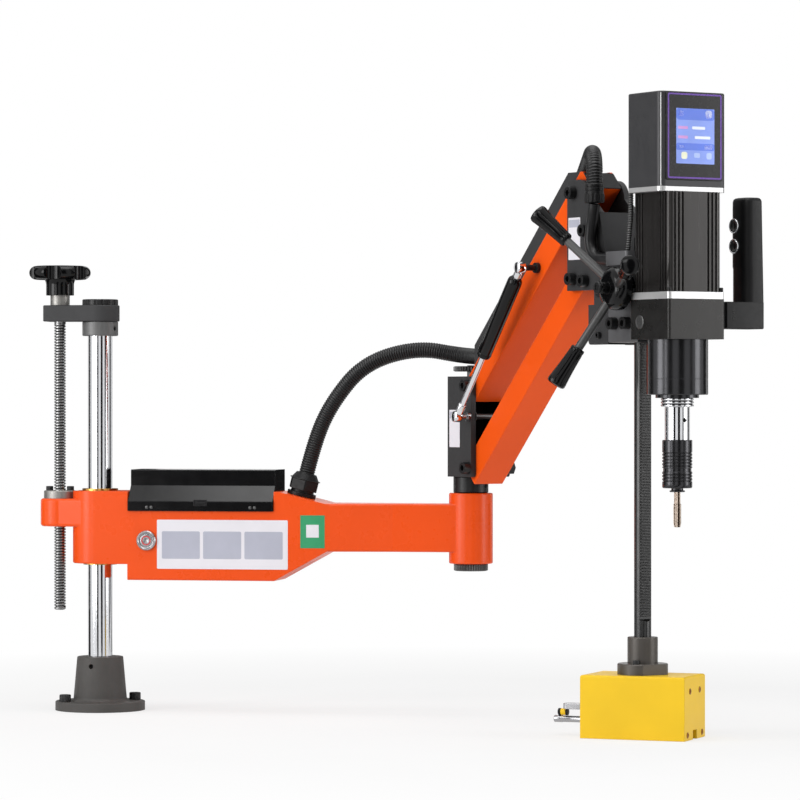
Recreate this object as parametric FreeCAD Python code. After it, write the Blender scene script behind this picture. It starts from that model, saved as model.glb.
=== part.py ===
import FreeCAD, Part
import math
import os

# Arm tapping machine. Millimetres, +Z up, origin on the column axis at the underside of the
# base flange, +X along arm 1. Arm 2 and the head are drawn in a frame of their own: x along
# arm 2, -y on the operator's side, origin on the elbow axis. ARM_2_HEADING turns them into place.

V = FreeCAD.Vector

# column
FLANGE_DIA = 125.0
FLANGE_THICKNESS = 12.5
FLANGE_BOLT_CIRCLE = 104.0
FLANGE_BOLT_HOLE = 11.0
COLUMN_DIA = 34.0
COLUMN_TOP = 565.0
BRACKET_BOTTOM, BRACKET_TOP = 542.2, 564.8
RUNNING_GAP = 0.05

# height screw
SCREW_X = -58.0
SCREW_DIA = 16.0

# arm 1
SLEEVE_DIA = 76.0
ARM_1_BOTTOM, ARM_1_TOP = 183.0, 306.0
ARM_1_LENGTH = 525.0
CASE_X0, CASE_X1 = 50.0, 255.0
LID_HINGE_Y, LID_HINGE_Z = 44.0, 292.0
BUTTON_X, BUTTON_Z = 76.0, 238.0
GLAND_X, GLAND_Z = 287.0, 300.0
GLAND_TILT = math.atan2(16, 64)

# arm 2
ARM_2_HEADING = -48.6
ARM_2_RISE = 44.0
LINK_LENGTH = 360.0
LINK_PIVOT_X = 43.0
LOWER_PIVOT_Z, UPPER_PIVOT_Z = 340.0, 452.0
LINK_HALF_WIDTH = 23.0
LINK_HALF_DEPTH = 17.5
PIVOT_PIN_DIA = 10.0
CHEEK_IN, CHEEK_OUT = 23.4, 31.4
SPRING_Y = -50.0

# feed post, rack and pinion
POST_X = 415.0
POST_DIA = 22.0
MODULE = 1.25
PINION_TEETH = 14
PINION_Z = 575.0
PITCH_LINE = 7.02
RACK_ADDENDUM = 1.0
DEDENDUM = 1.4
BACKLASH = 0.3

# head
SPINDLE_X = 492.0
MOTOR_SQUARE = 80.0
PLATE_SQUARE = 86.0
CONDUIT_DIA = 22.0
LEAD_DIA = 15.0
HOSE_DIA = 6.2

PINION_PITCH_RADIUS = MODULE * PINION_TEETH / 2
PINION_X = POST_X + PITCH_LINE + PINION_PITCH_RADIUS


# ---- building blocks ----

PLANES = {
    "xy": lambda u, v, w: V(u, v, w),
    "xz": lambda u, v, w: V(u, w, v),
    "yz": lambda u, v, w: V(w, u, v),
}


def outline(plane, path, level):
    """Closed wire. Each step is an end point, or a (point on the arc, end point) pair."""
    at = PLANES[plane]
    ends = [step[1] if isinstance(step[0], tuple) else step for step in path]
    edges = []
    for step, start, end in zip(path, ends[-1:] + ends[:-1], ends):
        first, last = at(*start, level), at(*end, level)
        if step is end:
            edges.append(Part.LineSegment(first, last).toShape())
        else:
            edges.append(Part.Arc(first, at(*step[0], level), last).toShape())
    return Part.Wire(edges)


def extrude(plane, path, low, high):
    """Prism with its section in the named plane, from low to high across it."""
    at = PLANES[plane]
    return Part.Face(outline(plane, path, low)).extrude(at(0, 0, high) - at(0, 0, low))


def turned(path, x=0.0, y=0.0):
    """Solid of revolution about the vertical through x, y from a (radius, z) path."""
    face = Part.Face(outline("xz", path, 0.0))
    face.translate(V(x, y, 0))
    return face.revolve(V(x, y, 0), V(0, 0, 1), 360)


def box(x0, x1, y0, y1, z0, z1):
    return Part.makeBox(x1 - x0, y1 - y0, z1 - z0, V(x0, y0, z0))


def rod(start, end, radius):
    return Part.makeCylinder(radius, (end - start).Length, start, end - start)


def cone(start, end, radius_0, radius_1):
    return Part.makeCone(radius_0, radius_1, (end - start).Length, start, end - start)


def tube(start, end, outer, inner):
    return rod(start, end, outer).cut(rod(start, end, inner))


def upright(radius, z0, z1, x=0.0, y=0.0):
    return rod(V(x, y, z0), V(x, y, z1), radius)


def ring(outer, inner, z0, z1, x=0.0, y=0.0):
    return upright(outer, z0, z1, x, y).cut(upright(inner, z0, z1, x, y))


def across(radius, y0, y1, x, z):
    """Cylinder along Y."""
    return rod(V(x, y0, z), V(x, y1, z), radius)


def fused(*shapes):
    return shapes[0].multiFuse(list(shapes[1:])).removeSplitter()


def cut(shape, *tools):
    return shape.cut(list(tools))


def rounded(shape, radius, chosen):
    """Fillet the edges for which chosen(bounding box) holds."""
    return shape.makeFillet(radius, [e for e in shape.Edges if chosen(e.BoundBox)])


def flat_at(z, tolerance=0.01):
    return lambda b: abs(b.ZMin - z) < tolerance and abs(b.ZMax - z) < tolerance


def standing(b):
    """True for the box of a straight vertical edge."""
    return b.XLength < 0.01 and b.YLength < 0.01 and b.ZLength > 1


def radial_hole(radius, z, angle, reach, x=0.0):
    """Drill from the axis at x outwards."""
    heading = math.radians(angle)
    tip = V(x + reach * math.cos(heading), reach * math.sin(heading), z)
    return rod(V(x, 0, z), tip, radius)


def square(half, corner, z0, z1, x=0.0):
    """Square block with rounded standing edges."""
    return rounded(box(x - half, x + half, -half, half, z0, z1), corner, standing)


def hexagon(across_flats, centre_u, centre_v):
    radius = across_flats / math.sqrt(3)
    turns = [math.radians(60 * k) for k in range(6)]
    return [(centre_u + radius * math.cos(t), centre_v + radius * math.sin(t)) for t in turns]


def socket_screw(x, z, face_y, shank_end, head_radius=8.0, shank_radius=5.0, head=10.0):
    """Socket head screw along Y, its head standing out of face_y towards the operator."""
    top = across(head_radius, face_y - head, face_y, x, z)
    socket = extrude("xz", hexagon(head_radius, x, z), face_y - head, face_y - head / 2)
    return fused(top, across(shank_radius, face_y, shank_end, x, z)).cut(socket)


def pivot_pin(x, z):
    """Shoulder screw through both cheeks with its nut on the far side."""
    nut = extrude("xz", hexagon(17.0, x, z), CHEEK_OUT, CHEEK_OUT + 8)
    return fused(socket_screw(x, z, -CHEEK_OUT, CHEEK_OUT + 8, shank_radius=PIVOT_PIN_DIA / 2), nut)


def swept(name, points, diameter):
    """Flexible line: straight runs joined by tangent arcs, as one closed round solid."""
    edges = []
    start = points[0]
    radii = []
    for before, corner, after in zip(points, points[1:], points[2:]):
        back, ahead = before - corner, after - corner
        shorter = min(back.Length, ahead.Length)
        back.normalize()
        ahead.normalize()
        half_turn = (math.pi - back.getAngle(ahead)) / 2
        radii.append(0.45 * shorter / math.tan(half_turn))
        first = corner + back * (0.45 * shorter)
        last = corner + ahead * (0.45 * shorter)
        centre_way = back + ahead
        centre_way.normalize()
        sag = radii[-1] / math.cos(half_turn) - radii[-1]
        edges.append(Part.LineSegment(start, first).toShape())
        edges.append(Part.Arc(first, corner + centre_way * sag, last).toShape())
        start = last
    edges.append(Part.LineSegment(start, points[-1]).toShape())
    spine = Part.Wire(edges)
    circle = Part.Circle(points[0], points[1] - points[0], diameter / 2).toShape()
    solid = spine.makePipeShell([Part.Wire(circle)], True, False)
    expected = spine.Length * math.pi * diameter**2 / 4
    print(
        f"{name}: diameter {diameter}, length {spine.Length:.1f}, volume / expected "
        f"{solid.Volume / expected:.4f}, bend radii {[round(r, 1) for r in radii]}"
    )
    return solid


# ---- column and height adjustment ----


def column():
    """Cast foot, chromed tube, thrust collar and the notched cap of the column."""
    rim = FLANGE_DIA / 2
    top = FLANGE_THICKNESS
    foot = turned([(0, 0), (rim, 0), (rim, top), (37.5, top), (32, 74.5), (0, 74.5)])
    foot = rounded(foot, 6, lambda b: flat_at(top)(b) and abs(b.XLength - 75) < 1)
    foot = rounded(foot, 1.5, lambda b: flat_at(top)(b) and b.XLength > 120)
    foot = rounded(foot, 1.5, flat_at(74.5))
    bolt_holes = []
    for k in range(4):
        angle = math.radians(35.4 + 90 * k)
        x = FLANGE_BOLT_CIRCLE / 2 * math.cos(angle)
        y = FLANGE_BOLT_CIRCLE / 2 * math.sin(angle)
        bolt_holes.append(upright(FLANGE_BOLT_HOLE / 2, -1, 20, x, y))
    radius = COLUMN_DIA / 2
    foot = cut(foot, upright(radius, 6, 80), radial_hole(3.4, 62, -98, 50), *bolt_holes)

    collar_top = BRACKET_BOTTOM - 0.2
    collar_edge = [(24, 522), (25, 523), (25, collar_top - 1), (24, collar_top)]
    collar = turned([(radius, 522)] + collar_edge + [(radius, collar_top)])
    plug = 11.8
    cap_edge = [(plug, COLUMN_TOP), (25, COLUMN_TOP), (25, 572), (24, 573)]
    cap = turned([(0, 545), (plug, 545)] + cap_edge + [(0, 573)])
    notches = []
    for k in range(16):
        angle = 2 * math.pi * k / 16
        notches.append(upright(1.8, 560, 580, 25.4 * math.cos(angle), 25.4 * math.sin(angle)))
    return {
        "base_flange": foot,
        "column_tube": ring(radius, 12, 6, COLUMN_TOP),
        "thrust_collar": cut(collar, radial_hole(3.3, 532, -20, 40)),
        "column_cap": cut(cap, *notches),
    }


def top_bracket():
    """Swinging yoke that carries the height screw: round at the column, square at the screw."""
    end_x, half, round_radius = -78.0, 20.0, 27.0
    reach = math.hypot(end_x, half)
    angle = math.atan2(half, end_x) - math.acos(round_radius / reach)
    touch = (round_radius * math.cos(angle), round_radius * math.sin(angle))
    path = [(end_x, -half), (end_x, half), touch, ((round_radius, 0), (touch[0], -touch[1]))]
    block = extrude("xy", path, BRACKET_BOTTOM, BRACKET_TOP)
    block = rounded(block, 5, lambda b: standing(b) and b.XMin < end_x + 1)
    block = rounded(block, 1.5, lambda b: flat_at(BRACKET_TOP)(b) or flat_at(BRACKET_BOTTOM)(b))
    column_bore = upright(COLUMN_DIA / 2 + RUNNING_GAP, 530, 580)
    screw_bore = upright(SCREW_DIA / 2 + RUNNING_GAP, 530, 580, SCREW_X)
    return {"top_bracket": cut(block, column_bore, screw_bore)}


def height_screw():
    """Lead screw with its shoulder and the six-lobed star knob."""
    radius = SCREW_DIA / 2
    screw = turned([(0, 139), (radius - 1.5, 139), (radius, 140.5), (radius, 597), (0, 597)], SCREW_X)
    hub = turned([(0, 579), (19.5, 579), (19.5, 594), ((20.4, 598.2), (22.5, 602)), (0, 602)], SCREW_X)
    star = turned([(0, 601), (33.5, 601), ((43, 610.5), (33.5, 620)), (0, 620)], SCREW_X)
    gaps = []
    for k in range(6):
        angle = math.radians(30 + 60 * k)
        gaps.append(upright(13.0, 595, 625, SCREW_X + 45.5 * math.cos(angle), 45.5 * math.sin(angle)))
    knob = fused(hub, cut(star, *gaps))
    return {
        "lead_screw": screw,
        "screw_collar": ring(13.5, radius, COLUMN_TOP, 579, SCREW_X),
        "star_knob": cut(knob, upright(radius, 570, 597, SCREW_X)),
    }


# ---- arm 1 ----


def gland_point(distance):
    """Point on the tilted axis of the cable gland, measured out of the casting."""
    x = GLAND_X + distance * math.sin(GLAND_TILT)
    return V(x, 0, GLAND_Z + distance * math.cos(GLAND_TILT))


def ear_plate(z0, z1):
    """Hull of the nut eye and the sleeve seen from above."""
    eye, sleeve = 27.0, SLEEVE_DIA / 2
    lean = (sleeve - eye) / SCREW_X
    side = math.sqrt(1 - lean**2)
    near = (SCREW_X - eye * lean, eye * side)
    far = (-sleeve * lean, sleeve * side)
    path = [(near[0], -near[1]), ((SCREW_X - eye, 0), near), far, (far[0], -far[1])]
    return extrude("xy", path, z0, z1)


def arm_casting():
    """Cast arm: nut ear, column sleeve, hollow box section, tapering beam and elbow boss."""
    top = ARM_1_TOP
    end = ARM_1_LENGTH
    under = [(0, 205), (48.6, 205), (48.6, ARM_1_BOTTOM), (256, ARM_1_BOTTOM), (330, 224), (end, 224)]
    over = [(end, 290), (327, 290), (263, top), (256, top), (256, 279), (49, 279), (49, top), (0, top)]
    side = under + over
    half = [(0, -38), (315, -38), (420, -25), (end, -25)]
    plan = half + [(x, -y) for x, y in reversed(half)]
    beam = extrude("xz", side, -38, 38).common(extrude("xy", plan, 180, 310))
    beam = rounded(beam, 3, lambda b: b.XLength > 30 and b.XMin > 326)
    beam = rounded(beam, 3, lambda b: b.XLength > 200 and b.ZMax < 184)
    sleeve = rounded(upright(SLEEVE_DIA / 2, 205, top), 2, flat_at(205))
    boss = rounded(upright(30, 208, 305, ARM_1_LENGTH), 2, lambda b: flat_at(208)(b) or flat_at(305)(b))
    ear = ear_plate(256, 295)
    ear = rounded(ear, 4, lambda b: (flat_at(256)(b) or flat_at(295)(b)) and b.XMin < -50)
    casting = fused(beam, sleeve, boss, ear)
    duct = [(240, 232), (480, 232), (480, 282), (325, 282), (262, 297), (240, 297)]
    return cut(
        casting,
        upright(20, 200, 310),
        upright(14, 250, 300, SCREW_X),
        upright(27, 295, 310, SCREW_X),
        box(58, 248, -30, 30, 191, 290),
        extrude("xz", duct, -17, 17),
        upright(17, 200, 310, ARM_1_LENGTH),
        across(11, -40, -28, BUTTON_X, BUTTON_Z),
        rod(gland_point(-20), gland_point(5), 12),
    )


def hinge_rod(x0, x1, radius):
    """Cylinder on the hinge line of the lid."""
    return rod(V(x0, LID_HINGE_Y, LID_HINGE_Z), V(x1, LID_HINGE_Y, LID_HINGE_Z), radius)


def tool_case():
    """Open tray of the tool case with its deep pocket and the two hinge lugs."""
    wall = 2.5
    tray = box(CASE_X0, CASE_X1, -41, 41, 279, 292)
    tray = tray.cut(box(CASE_X0 + wall, CASE_X1 - wall, -41 + wall, 41 - wall, 279 + wall, 293))
    pocket = box(95, 246, -28, 28, 243, 280)
    lugs = []
    pin_holes = []
    for x in (76, 221):
        lugs.append(box(x, x + 8, 40.5, LID_HINGE_Y + 1, 286, 291))
        lugs.append(hinge_rod(x, x + 8, 2.7))
        pin_holes.append(hinge_rod(x - 1, x + 9, 1.55))
    shell = fused(tray, pocket, *lugs)
    return cut(shell, box(97, 244, -26, 26, 245, 282), *pin_holes)


def case_lid():
    """Thin lid with a sloping front, closed ends, and knuckles carrying the hinge pintles."""
    skin = 1.5
    section = [(-41, 292.2), (-23, 314), (-23, 336), (41, 336), (41, 292.2)]
    inside = [(-38.9, 292), (-21.5, 313.4), (-21.5, 334.5), (39.5, 334.5), (39.5, 292)]
    shell = extrude("yz", section, CASE_X0, CASE_X1)
    shell = rounded(shell, 2, lambda b: b.XLength > 100 and b.ZMin > 330)
    shell = shell.cut(extrude("yz", inside, CASE_X0 + skin, CASE_X1 - skin))
    knuckles = []
    for x in (84.5, 229.5):
        knuckles.append(hinge_rod(x, x + 8, 2.7))
        knuckles.append(hinge_rod(x - 8.5, x + 1, 1.5))
        knuckles.append(box(x, x + 8, 40.5, LID_HINGE_Y + 1, 293, 297))
    return fused(shell, *knuckles)


def gland():
    """Cable gland of arm 1: flanged body with a clamping nut."""
    body = fused(
        rod(gland_point(-14), gland_point(0), 12),
        rod(gland_point(0), gland_point(5), 20),
        rod(gland_point(5), gland_point(9), 16),
        rod(gland_point(9), gland_point(20), 12.5),
    ).cut(rod(gland_point(-15), gland_point(21), 9))
    nut = fused(
        Part.makeCylinder(21, 15, gland_point(9), gland_point(1) - gland_point(0)),
        cone(gland_point(24), gland_point(32), 19, 14),
    )
    flats = []
    for k in range(6):
        flat = box(18.6, 30, -20, 20, 8, 23)
        flat.rotate(V(0, 0, 0), V(0, 0, 1), 60 * k + 15)
        flat.rotate(V(0, 0, 0), V(0, 1, 0), math.degrees(GLAND_TILT))
        flat.translate(gland_point(0))
        flats.append(flat)
    seat = rod(gland_point(8), gland_point(20), 12.5)
    throat = rod(gland_point(19), gland_point(33), CONDUIT_DIA / 2 + RUNNING_GAP)
    return body, cut(nut, seat, throat, *flats)


def arm_1():
    upper_bush = fused(ring(20, 17.05, 266, ARM_1_TOP), ring(25, 17.05, ARM_1_TOP, 309))
    lower_bush = fused(ring(20, 17.05, 205, 245), ring(23.5, 17.05, 203, 205))
    bore = SCREW_DIA / 2 + RUNNING_GAP
    nut_edge = [(14, 262), (14, 295), (22.5, 295), (22.5, 305), (21.5, 306)]
    nut = turned([(bore, 262)] + nut_edge + [(bore, 306)], SCREW_X)
    bezel = tube(V(BUTTON_X, -41, BUTTON_Z), V(BUTTON_X, -38, BUTTON_Z), 13.5, 9.3)
    barrel = tube(V(BUTTON_X, -38, BUTTON_Z), V(BUTTON_X, -20, BUTTON_Z), 11, 9.3)
    gland_body, gland_nut = gland()
    return {
        "arm_casting": arm_casting(),
        "column_bushes": Part.makeCompound([upper_bush, lower_bush]),
        "screw_nut": nut,
        "tool_case": tool_case(),
        "power_button_bezel": fused(bezel, barrel, across(11, -20, -18, BUTTON_X, BUTTON_Z)),
        "gland_body": gland_body,
        "gland_nut": gland_nut,
        "boss_bushes": Part.makeCompound([ring(17, 13.05, z, z + 25, ARM_1_LENGTH) for z in (208, 280)]),
        "power_button": across(9, -40.2, -26, BUTTON_X, BUTTON_Z),
        "case_lid": case_lid(),
    }


# ---- elbow and parallelogram, in the frame of arm 2 ----


def elbow():
    """Swivel shaft with its collar and nuts, and the U bracket that carries both members."""
    steps = [(13, 198, 327.5), (9, 327.5, 345), (6, 345, 453), (9, 453, 464.7), (5, 464.7, 478.5)]
    shaft = fused(*[upright(radius, z0, z1) for radius, z0, z1 in steps])
    collar = turned([(13, 305.2), (23, 305.2), (24, 306.2), (24, 326.5), (23, 327.5), (13, 327.5)])
    cheek = box(-10, 50, -CHEEK_OUT, -CHEEK_IN, 327.5, 464.7)
    cheek = rounded(cheek, 4, lambda b: b.YLength > 7.9 and b.XMin > 40)
    bracket = fused(
        cheek,
        cheek.mirror(V(0, 0, 0), V(0, 1, 0)),
        box(-10, -6, -CHEEK_OUT, CHEEK_OUT, 327.5, 464.7),
        box(-10, 18, -CHEEK_OUT, CHEEK_OUT, 327.5, 345),
        box(-10, 18, -CHEEK_OUT, CHEEK_OUT, 453, 464.7),
    )
    pins = [across(5, -40, 40, LINK_PIVOT_X, z) for z in (LOWER_PIVOT_Z, UPPER_PIVOT_Z)]
    bracket = cut(bracket, upright(9, 320, 345), upright(9, 453, 470), across(3, -40, -20, 46, 410), *pins)
    stud = fused(across(3, SPRING_Y, -CHEEK_IN, 46, 410), across(5.5, -36, -CHEEK_OUT, 46, 410))
    return {
        "swivel_shaft": shaft,
        "swivel_collar": cut(collar, radial_hole(3.3, 315, ARM_2_HEADING + 75, 40)),
        "shaft_nuts": Part.makeCompound([ring(23.5, 13, 198, 207.8), ring(24, 5, 471.5, 478.5)]),
        "elbow_bracket": bracket,
        "elbow_pivot_bolts": Part.makeCompound(
            [pivot_pin(LINK_PIVOT_X, z) for z in (LOWER_PIVOT_Z, UPPER_PIVOT_Z)]
        ),
        "lower_ball_stud": fused(stud, Part.makeSphere(5, V(46, SPRING_Y, 410))),
    }


def link_to_arm(shape, pivot_z):
    """Lay a shape drawn along +X from its pivot onto the member that starts at pivot_z."""
    shape.rotate(V(0, 0, 0), V(0, 1, 0), -ARM_2_RISE)
    shape.translate(V(LINK_PIVOT_X, 0, pivot_z))
    return shape


def channel(end, head_bore):
    """Open channel with a closed lower end, a low sill at the head end and tubes for its pins."""
    w, d = LINK_HALF_WIDTH, LINK_HALF_DEPTH
    outer = box(-13.5, end, -w, w, -d, d)
    outer = rounded(outer, 1.5, lambda b: b.XLength > 100 and b.ZMax < 0)
    trough = box(-9.5, end - 4, -w + 4, w - 4, -d + 4, d + 1)
    trough = trough.fuse(box(end - 5, end + 1, -w + 4, w - 4, 11, d + 1))
    tubes = [across(9, -w, w, 0, 0), across(9, -w, w, LINK_LENGTH, 0)]
    pin = PIVOT_PIN_DIA / 2 + RUNNING_GAP
    holes = [across(pin, -w - 1, w + 1, 0, 0), across(head_bore, -w - 1, w + 1, LINK_LENGTH, 0)]
    return cut(fused(outer.cut(trough), *tubes), *holes)


def arm_2():
    """Both members of the parallelogram, the cable trough and the upper ball stud."""
    pin = PIVOT_PIN_DIA / 2 + RUNNING_GAP
    upper = link_to_arm(channel(386, pin), UPPER_PIVOT_Z)
    upper = upper.cut(box(200, 400, -60, 60, 730, 800))
    lower = link_to_arm(channel(373.5, 5.5), LOWER_PIVOT_Z)
    w, d = LINK_HALF_WIDTH, LINK_HALF_DEPTH
    cover = box(-80, 440, -w, w, d, d + 20).cut(box(-81, 441, -w + 2, w - 2, d - 1, d + 18))
    cover = link_to_arm(cover, UPPER_PIVOT_Z).common(box(46, 400, -60, 60, 400, 730))
    rise = math.radians(ARM_2_RISE)
    x = LINK_PIVOT_X + 224 * math.cos(rise)
    z = UPPER_PIVOT_Z + 224 * math.sin(rise)
    stud = fused(across(7, -28, -w, x, z), across(4, SPRING_Y + 8.3, -28, x, z))
    return {"upper_link": upper, "cable_trough": cover, "upper_ball_stud": stud, "lower_link": lower}


def gas_spring():
    """Gas spring from the elbow cheek to the upper member: rod with piston, barrel, sockets."""
    rise = math.radians(51.33)

    def at(s):
        return V(46 + s * math.cos(rise), SPRING_Y, 410 + s * math.sin(rise))

    pocket = Part.makeSphere(5.3, at(0))
    eye = cut(rod(at(-9), at(9), 8), pocket, across(4.2, SPRING_Y, SPRING_Y + 9, 46, 410))
    piston_rod = fused(eye, rod(at(8), at(160), 4), rod(at(150), at(160), 8.6)).cut(pocket)
    front = tube(at(105), at(109), 10, 4 + RUNNING_GAP)
    ends = [rod(at(232), at(235), 10), rod(at(235), at(246), 5), rod(at(244), at(262), 8)]
    barrel = fused(tube(at(105), at(235), 10, 9), front, *ends)
    return {"gas_spring_rod": piston_rod, "gas_spring_cylinder": barrel}


# ---- head, in the frame of arm 2 ----

BRACKET_SCREWS = ((331, 587), (333, 652), (375, 572))
FEED_SCREWS = ((398, 530.6), (428, 530.6))


def head_pivots():
    rise = math.radians(ARM_2_RISE)
    x = LINK_PIVOT_X + LINK_LENGTH * math.cos(rise)
    lift = LINK_LENGTH * math.sin(rise)
    return ((x, LOWER_PIVOT_Z + lift), (x, UPPER_PIVOT_Z + lift))


def head_bracket():
    """Two profiled side plates joined by a web, with the lower limb that grips the feed block."""
    crown = [(287, 575), (287, 719), (314, 719), ((331.7, 711.7), (339, 694)), (362, 675)]
    limb = [(381, 608), (383, 604), (383, 504), (337, 504), (337, 555.6), (350, 555.6), (350, 575)]
    plate = extrude("xz", crown + limb, -CHEEK_OUT, -CHEEK_IN)
    corners = lambda b: b.YLength > 7.9 and b.XMax < 345 and (b.ZMax < 510 or b.ZMin > 718)
    plate = rounded(plate, 5, corners)
    web = [(371, 504), (383, 504), (383, 604), (362, 675), (354, 672), (371, 604)]
    frame = fused(plate, plate.mirror(V(0, 0, 0), V(0, 1, 0)), extrude("xz", web, -CHEEK_OUT, CHEEK_OUT))
    holes = [across(5, -40, 40, x, z) for x, z in head_pivots() + BRACKET_SCREWS]
    return cut(frame, *holes)


def feed_block():
    """Guide of the rack post with the cross bore of the pinion and the cable junction on top."""
    block = box(383, 449, -CHEEK_OUT, CHEEK_OUT, 506, 604)
    block = rounded(block, 2, lambda b: b.XLength > 60)
    junction = rounded(box(402, 451.5, -50, -18, 604, 622), 4, standing)
    block = fused(block, junction)
    pinion_bore = across(10.4, -40, 12, PINION_X, PINION_Z)
    far_bore = across(6 + RUNNING_GAP, 11, 40, PINION_X, PINION_Z)
    screw_holes = [across(5, -40, -19, x, z) for x, z in FEED_SCREWS]
    post_bore = upright(POST_DIA / 2 + 0.06, 500, 630, POST_X)
    return cut(block, post_bore, pinion_bore, far_bore, *screw_holes)


def motor():
    """Finned extrusion: six grooves on each side of a square with rounded corners."""
    half, groove, depth = MOTOR_SQUARE / 2, 1.3, 4.0
    body = square(half, 6, 568.5, 694.5, SPINDLE_X)
    slots = []
    for u in (-31.5, -25.5, -19.5, 19.5, 25.5, 31.5):
        for side in (-half - 1, half - depth):
            x = SPINDLE_X + side
            slots.append(box(x, x + depth + 1, u - groove, u + groove, 560, 700))
            x = SPINDLE_X + u
            slots.append(box(x - groove, x + groove, side, side + depth + 1, 560, 700))
    return cut(body, *slots)


def control_box():
    """Thin-walled box of the controller with the display panel let onto its front."""
    shell = rounded(box(452, 528, -51, 51, 700.5, 820), 8, standing)
    shell = rounded(shell, 2, flat_at(820))
    inside = rounded(box(455, 525, -48, 48, 700, 817), 5, standing)
    panel = rounded(box(528, 529.6, -42, 42, 712, 812), 3, lambda b: b.XLength > 1.5 and b.YLength < 0.1)
    return shell.cut(inside), panel


def reducer():
    """Planetary reducer housing: two drums with a seam groove, a step and the nose ring."""
    bore = 10.0 + RUNNING_GAP
    nose = [(bore, 424), (18.5, 424), (19.5, 425), (19.5, 435), (27.5, 435), (27.5, 439)]
    drum = [(38, 439), (39, 440), (39, 458.6), (38.6, 458.6), (38.6, 459.4), (39, 459.4), (39, 509)]
    chamber = [(0, 509), (0, 503), (33, 503), (33, 463), (bore, 463)]
    return turned(nose + drum + chamber, SPINDLE_X)


def spindle_parts():
    """Spindle with its carrier disc, quick-change chuck, sliding sleeve and tap."""
    x = SPINDLE_X
    nose = [(0, 382), (15.8, 382), (15.8, 423.6)]
    carrier = [(10, 423.6), (10, 480), (30, 480), (30, 490), (0, 490)]
    spindle = turned(nose + carrier, x).cut(rod(V(x, 0, 407), V(x + 20, 0, 407), 3))
    lip = [(5, 316), (9, 316), (10, 317), (10, 321)]
    chuck = turned(lip + [(15, 321), (15, 346), (19, 346), (19, 382), (5, 382)], x)
    for z in (352, 357):
        chuck = chuck.cut(ring(20, 18, z, z + 2, x))
    sleeve = turned([(15.05, 321), (18, 321), (19, 322), (19, 342), (15.05, 342)], x)
    for z in (325, 330, 335):
        sleeve = sleeve.cut(ring(20, 18.2, z, z + 1.6, x))
    tap = turned([(0, 271.5), (3.6, 271.5), (5, 277), (5, 345), (0, 345)], x)
    return {"spindle": spindle, "chuck_body": chuck, "tap": tap, "chuck_sleeve": sleeve}


def grip():
    """Cranked handle: foot under the gearbox side, upright with a round head, button bores."""
    foot = box(474, 510, 43, 124, 523, 557.5)
    foot = rounded(foot, 6, lambda b: b.XLength > 30 and b.YMax > 120)
    upright_path = [(94, 545), (123, 545), (121, 676), ((108, 689), (95, 676))]
    stem = extrude("yz", upright_path, 474, 510)
    stem = rounded(stem, 3, lambda b: b.XLength < 0.1 and b.ZLength > 10)
    bores = [across(8.88, 85, 110, 486, z) for z in (655, 629)]
    return cut(fused(foot, stem), *bores)


def head():
    control, panel = control_box()
    bolts = [pivot_pin(x, z) for x, z in head_pivots() + BRACKET_SCREWS]
    bolts += [socket_screw(x, z, -CHEEK_OUT, -19) for x, z in FEED_SCREWS]
    mid_plate = square(PLATE_SQUARE / 2, 4, 559.5, 568.5, SPINDLE_X)
    gearbox = rounded(box(449, 535, -43, 43, 509, 559.5), 3, standing)
    top_plate = rounded(box(452, 528, -51, 51, 694.5, 700.5), 8, standing)
    connector = fused(upright(12, 690, 711, 363, -39.5), upright(13, 687, 690, 363, -39.5))
    nodes = {
        "head_bracket": head_bracket(),
        "head_bolts": Part.makeCompound(bolts),
        "feed_box": feed_block(),
        "gearbox_block": gearbox,
        "reducer_housing": reducer(),
        "mid_plate": mid_plate,
        "motor_body": motor(),
        "top_plate": top_plate,
        "control_box": control,
        "display_panel": panel,
        "grip": grip(),
        "conduit_connector": connector,
        "grip_button_upper": across(8.8, 92, 104, 486, 655),
        "grip_button_lower": across(8.8, 92, 104, 486, 629),
    }
    nodes.update(spindle_parts())
    return nodes


# ---- feed: rack post, pinion and capstan ----


def rack_post():
    """Round post with a straight rack down the side that faces the pinion."""
    pitch = math.pi * MODULE
    slope = math.tan(math.radians(20))
    tip, root = PITCH_LINE + RACK_ADDENDUM, PITCH_LINE - DEDENDUM
    tooth = (pitch - BACKLASH) / 2
    tip_half = tooth / 2 - RACK_ADDENDUM * slope
    root_half = tooth / 2 + DEDENDUM * slope
    radius = POST_DIA / 2
    low, high = -107, 15
    flat_start = PINION_Z + (low - 0.5) * pitch
    path = [(POST_X - radius, 81), (POST_X + radius, 81), (POST_X + radius, flat_start - 4)]
    path.append((POST_X + root, flat_start - 1))
    for k in range(low, high + 1):
        z = PINION_Z + (k + 0.5) * pitch
        path.append((POST_X + root, z - root_half))
        path.append((POST_X + tip, z - tip_half))
        path.append((POST_X + tip, z + tip_half))
        path.append((POST_X + root, z + root_half))
    path += [(POST_X + root, 640), (POST_X - radius, 640)]
    return extrude("xz", path, -radius, radius).common(upright(radius, 81, 640, POST_X))


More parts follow.
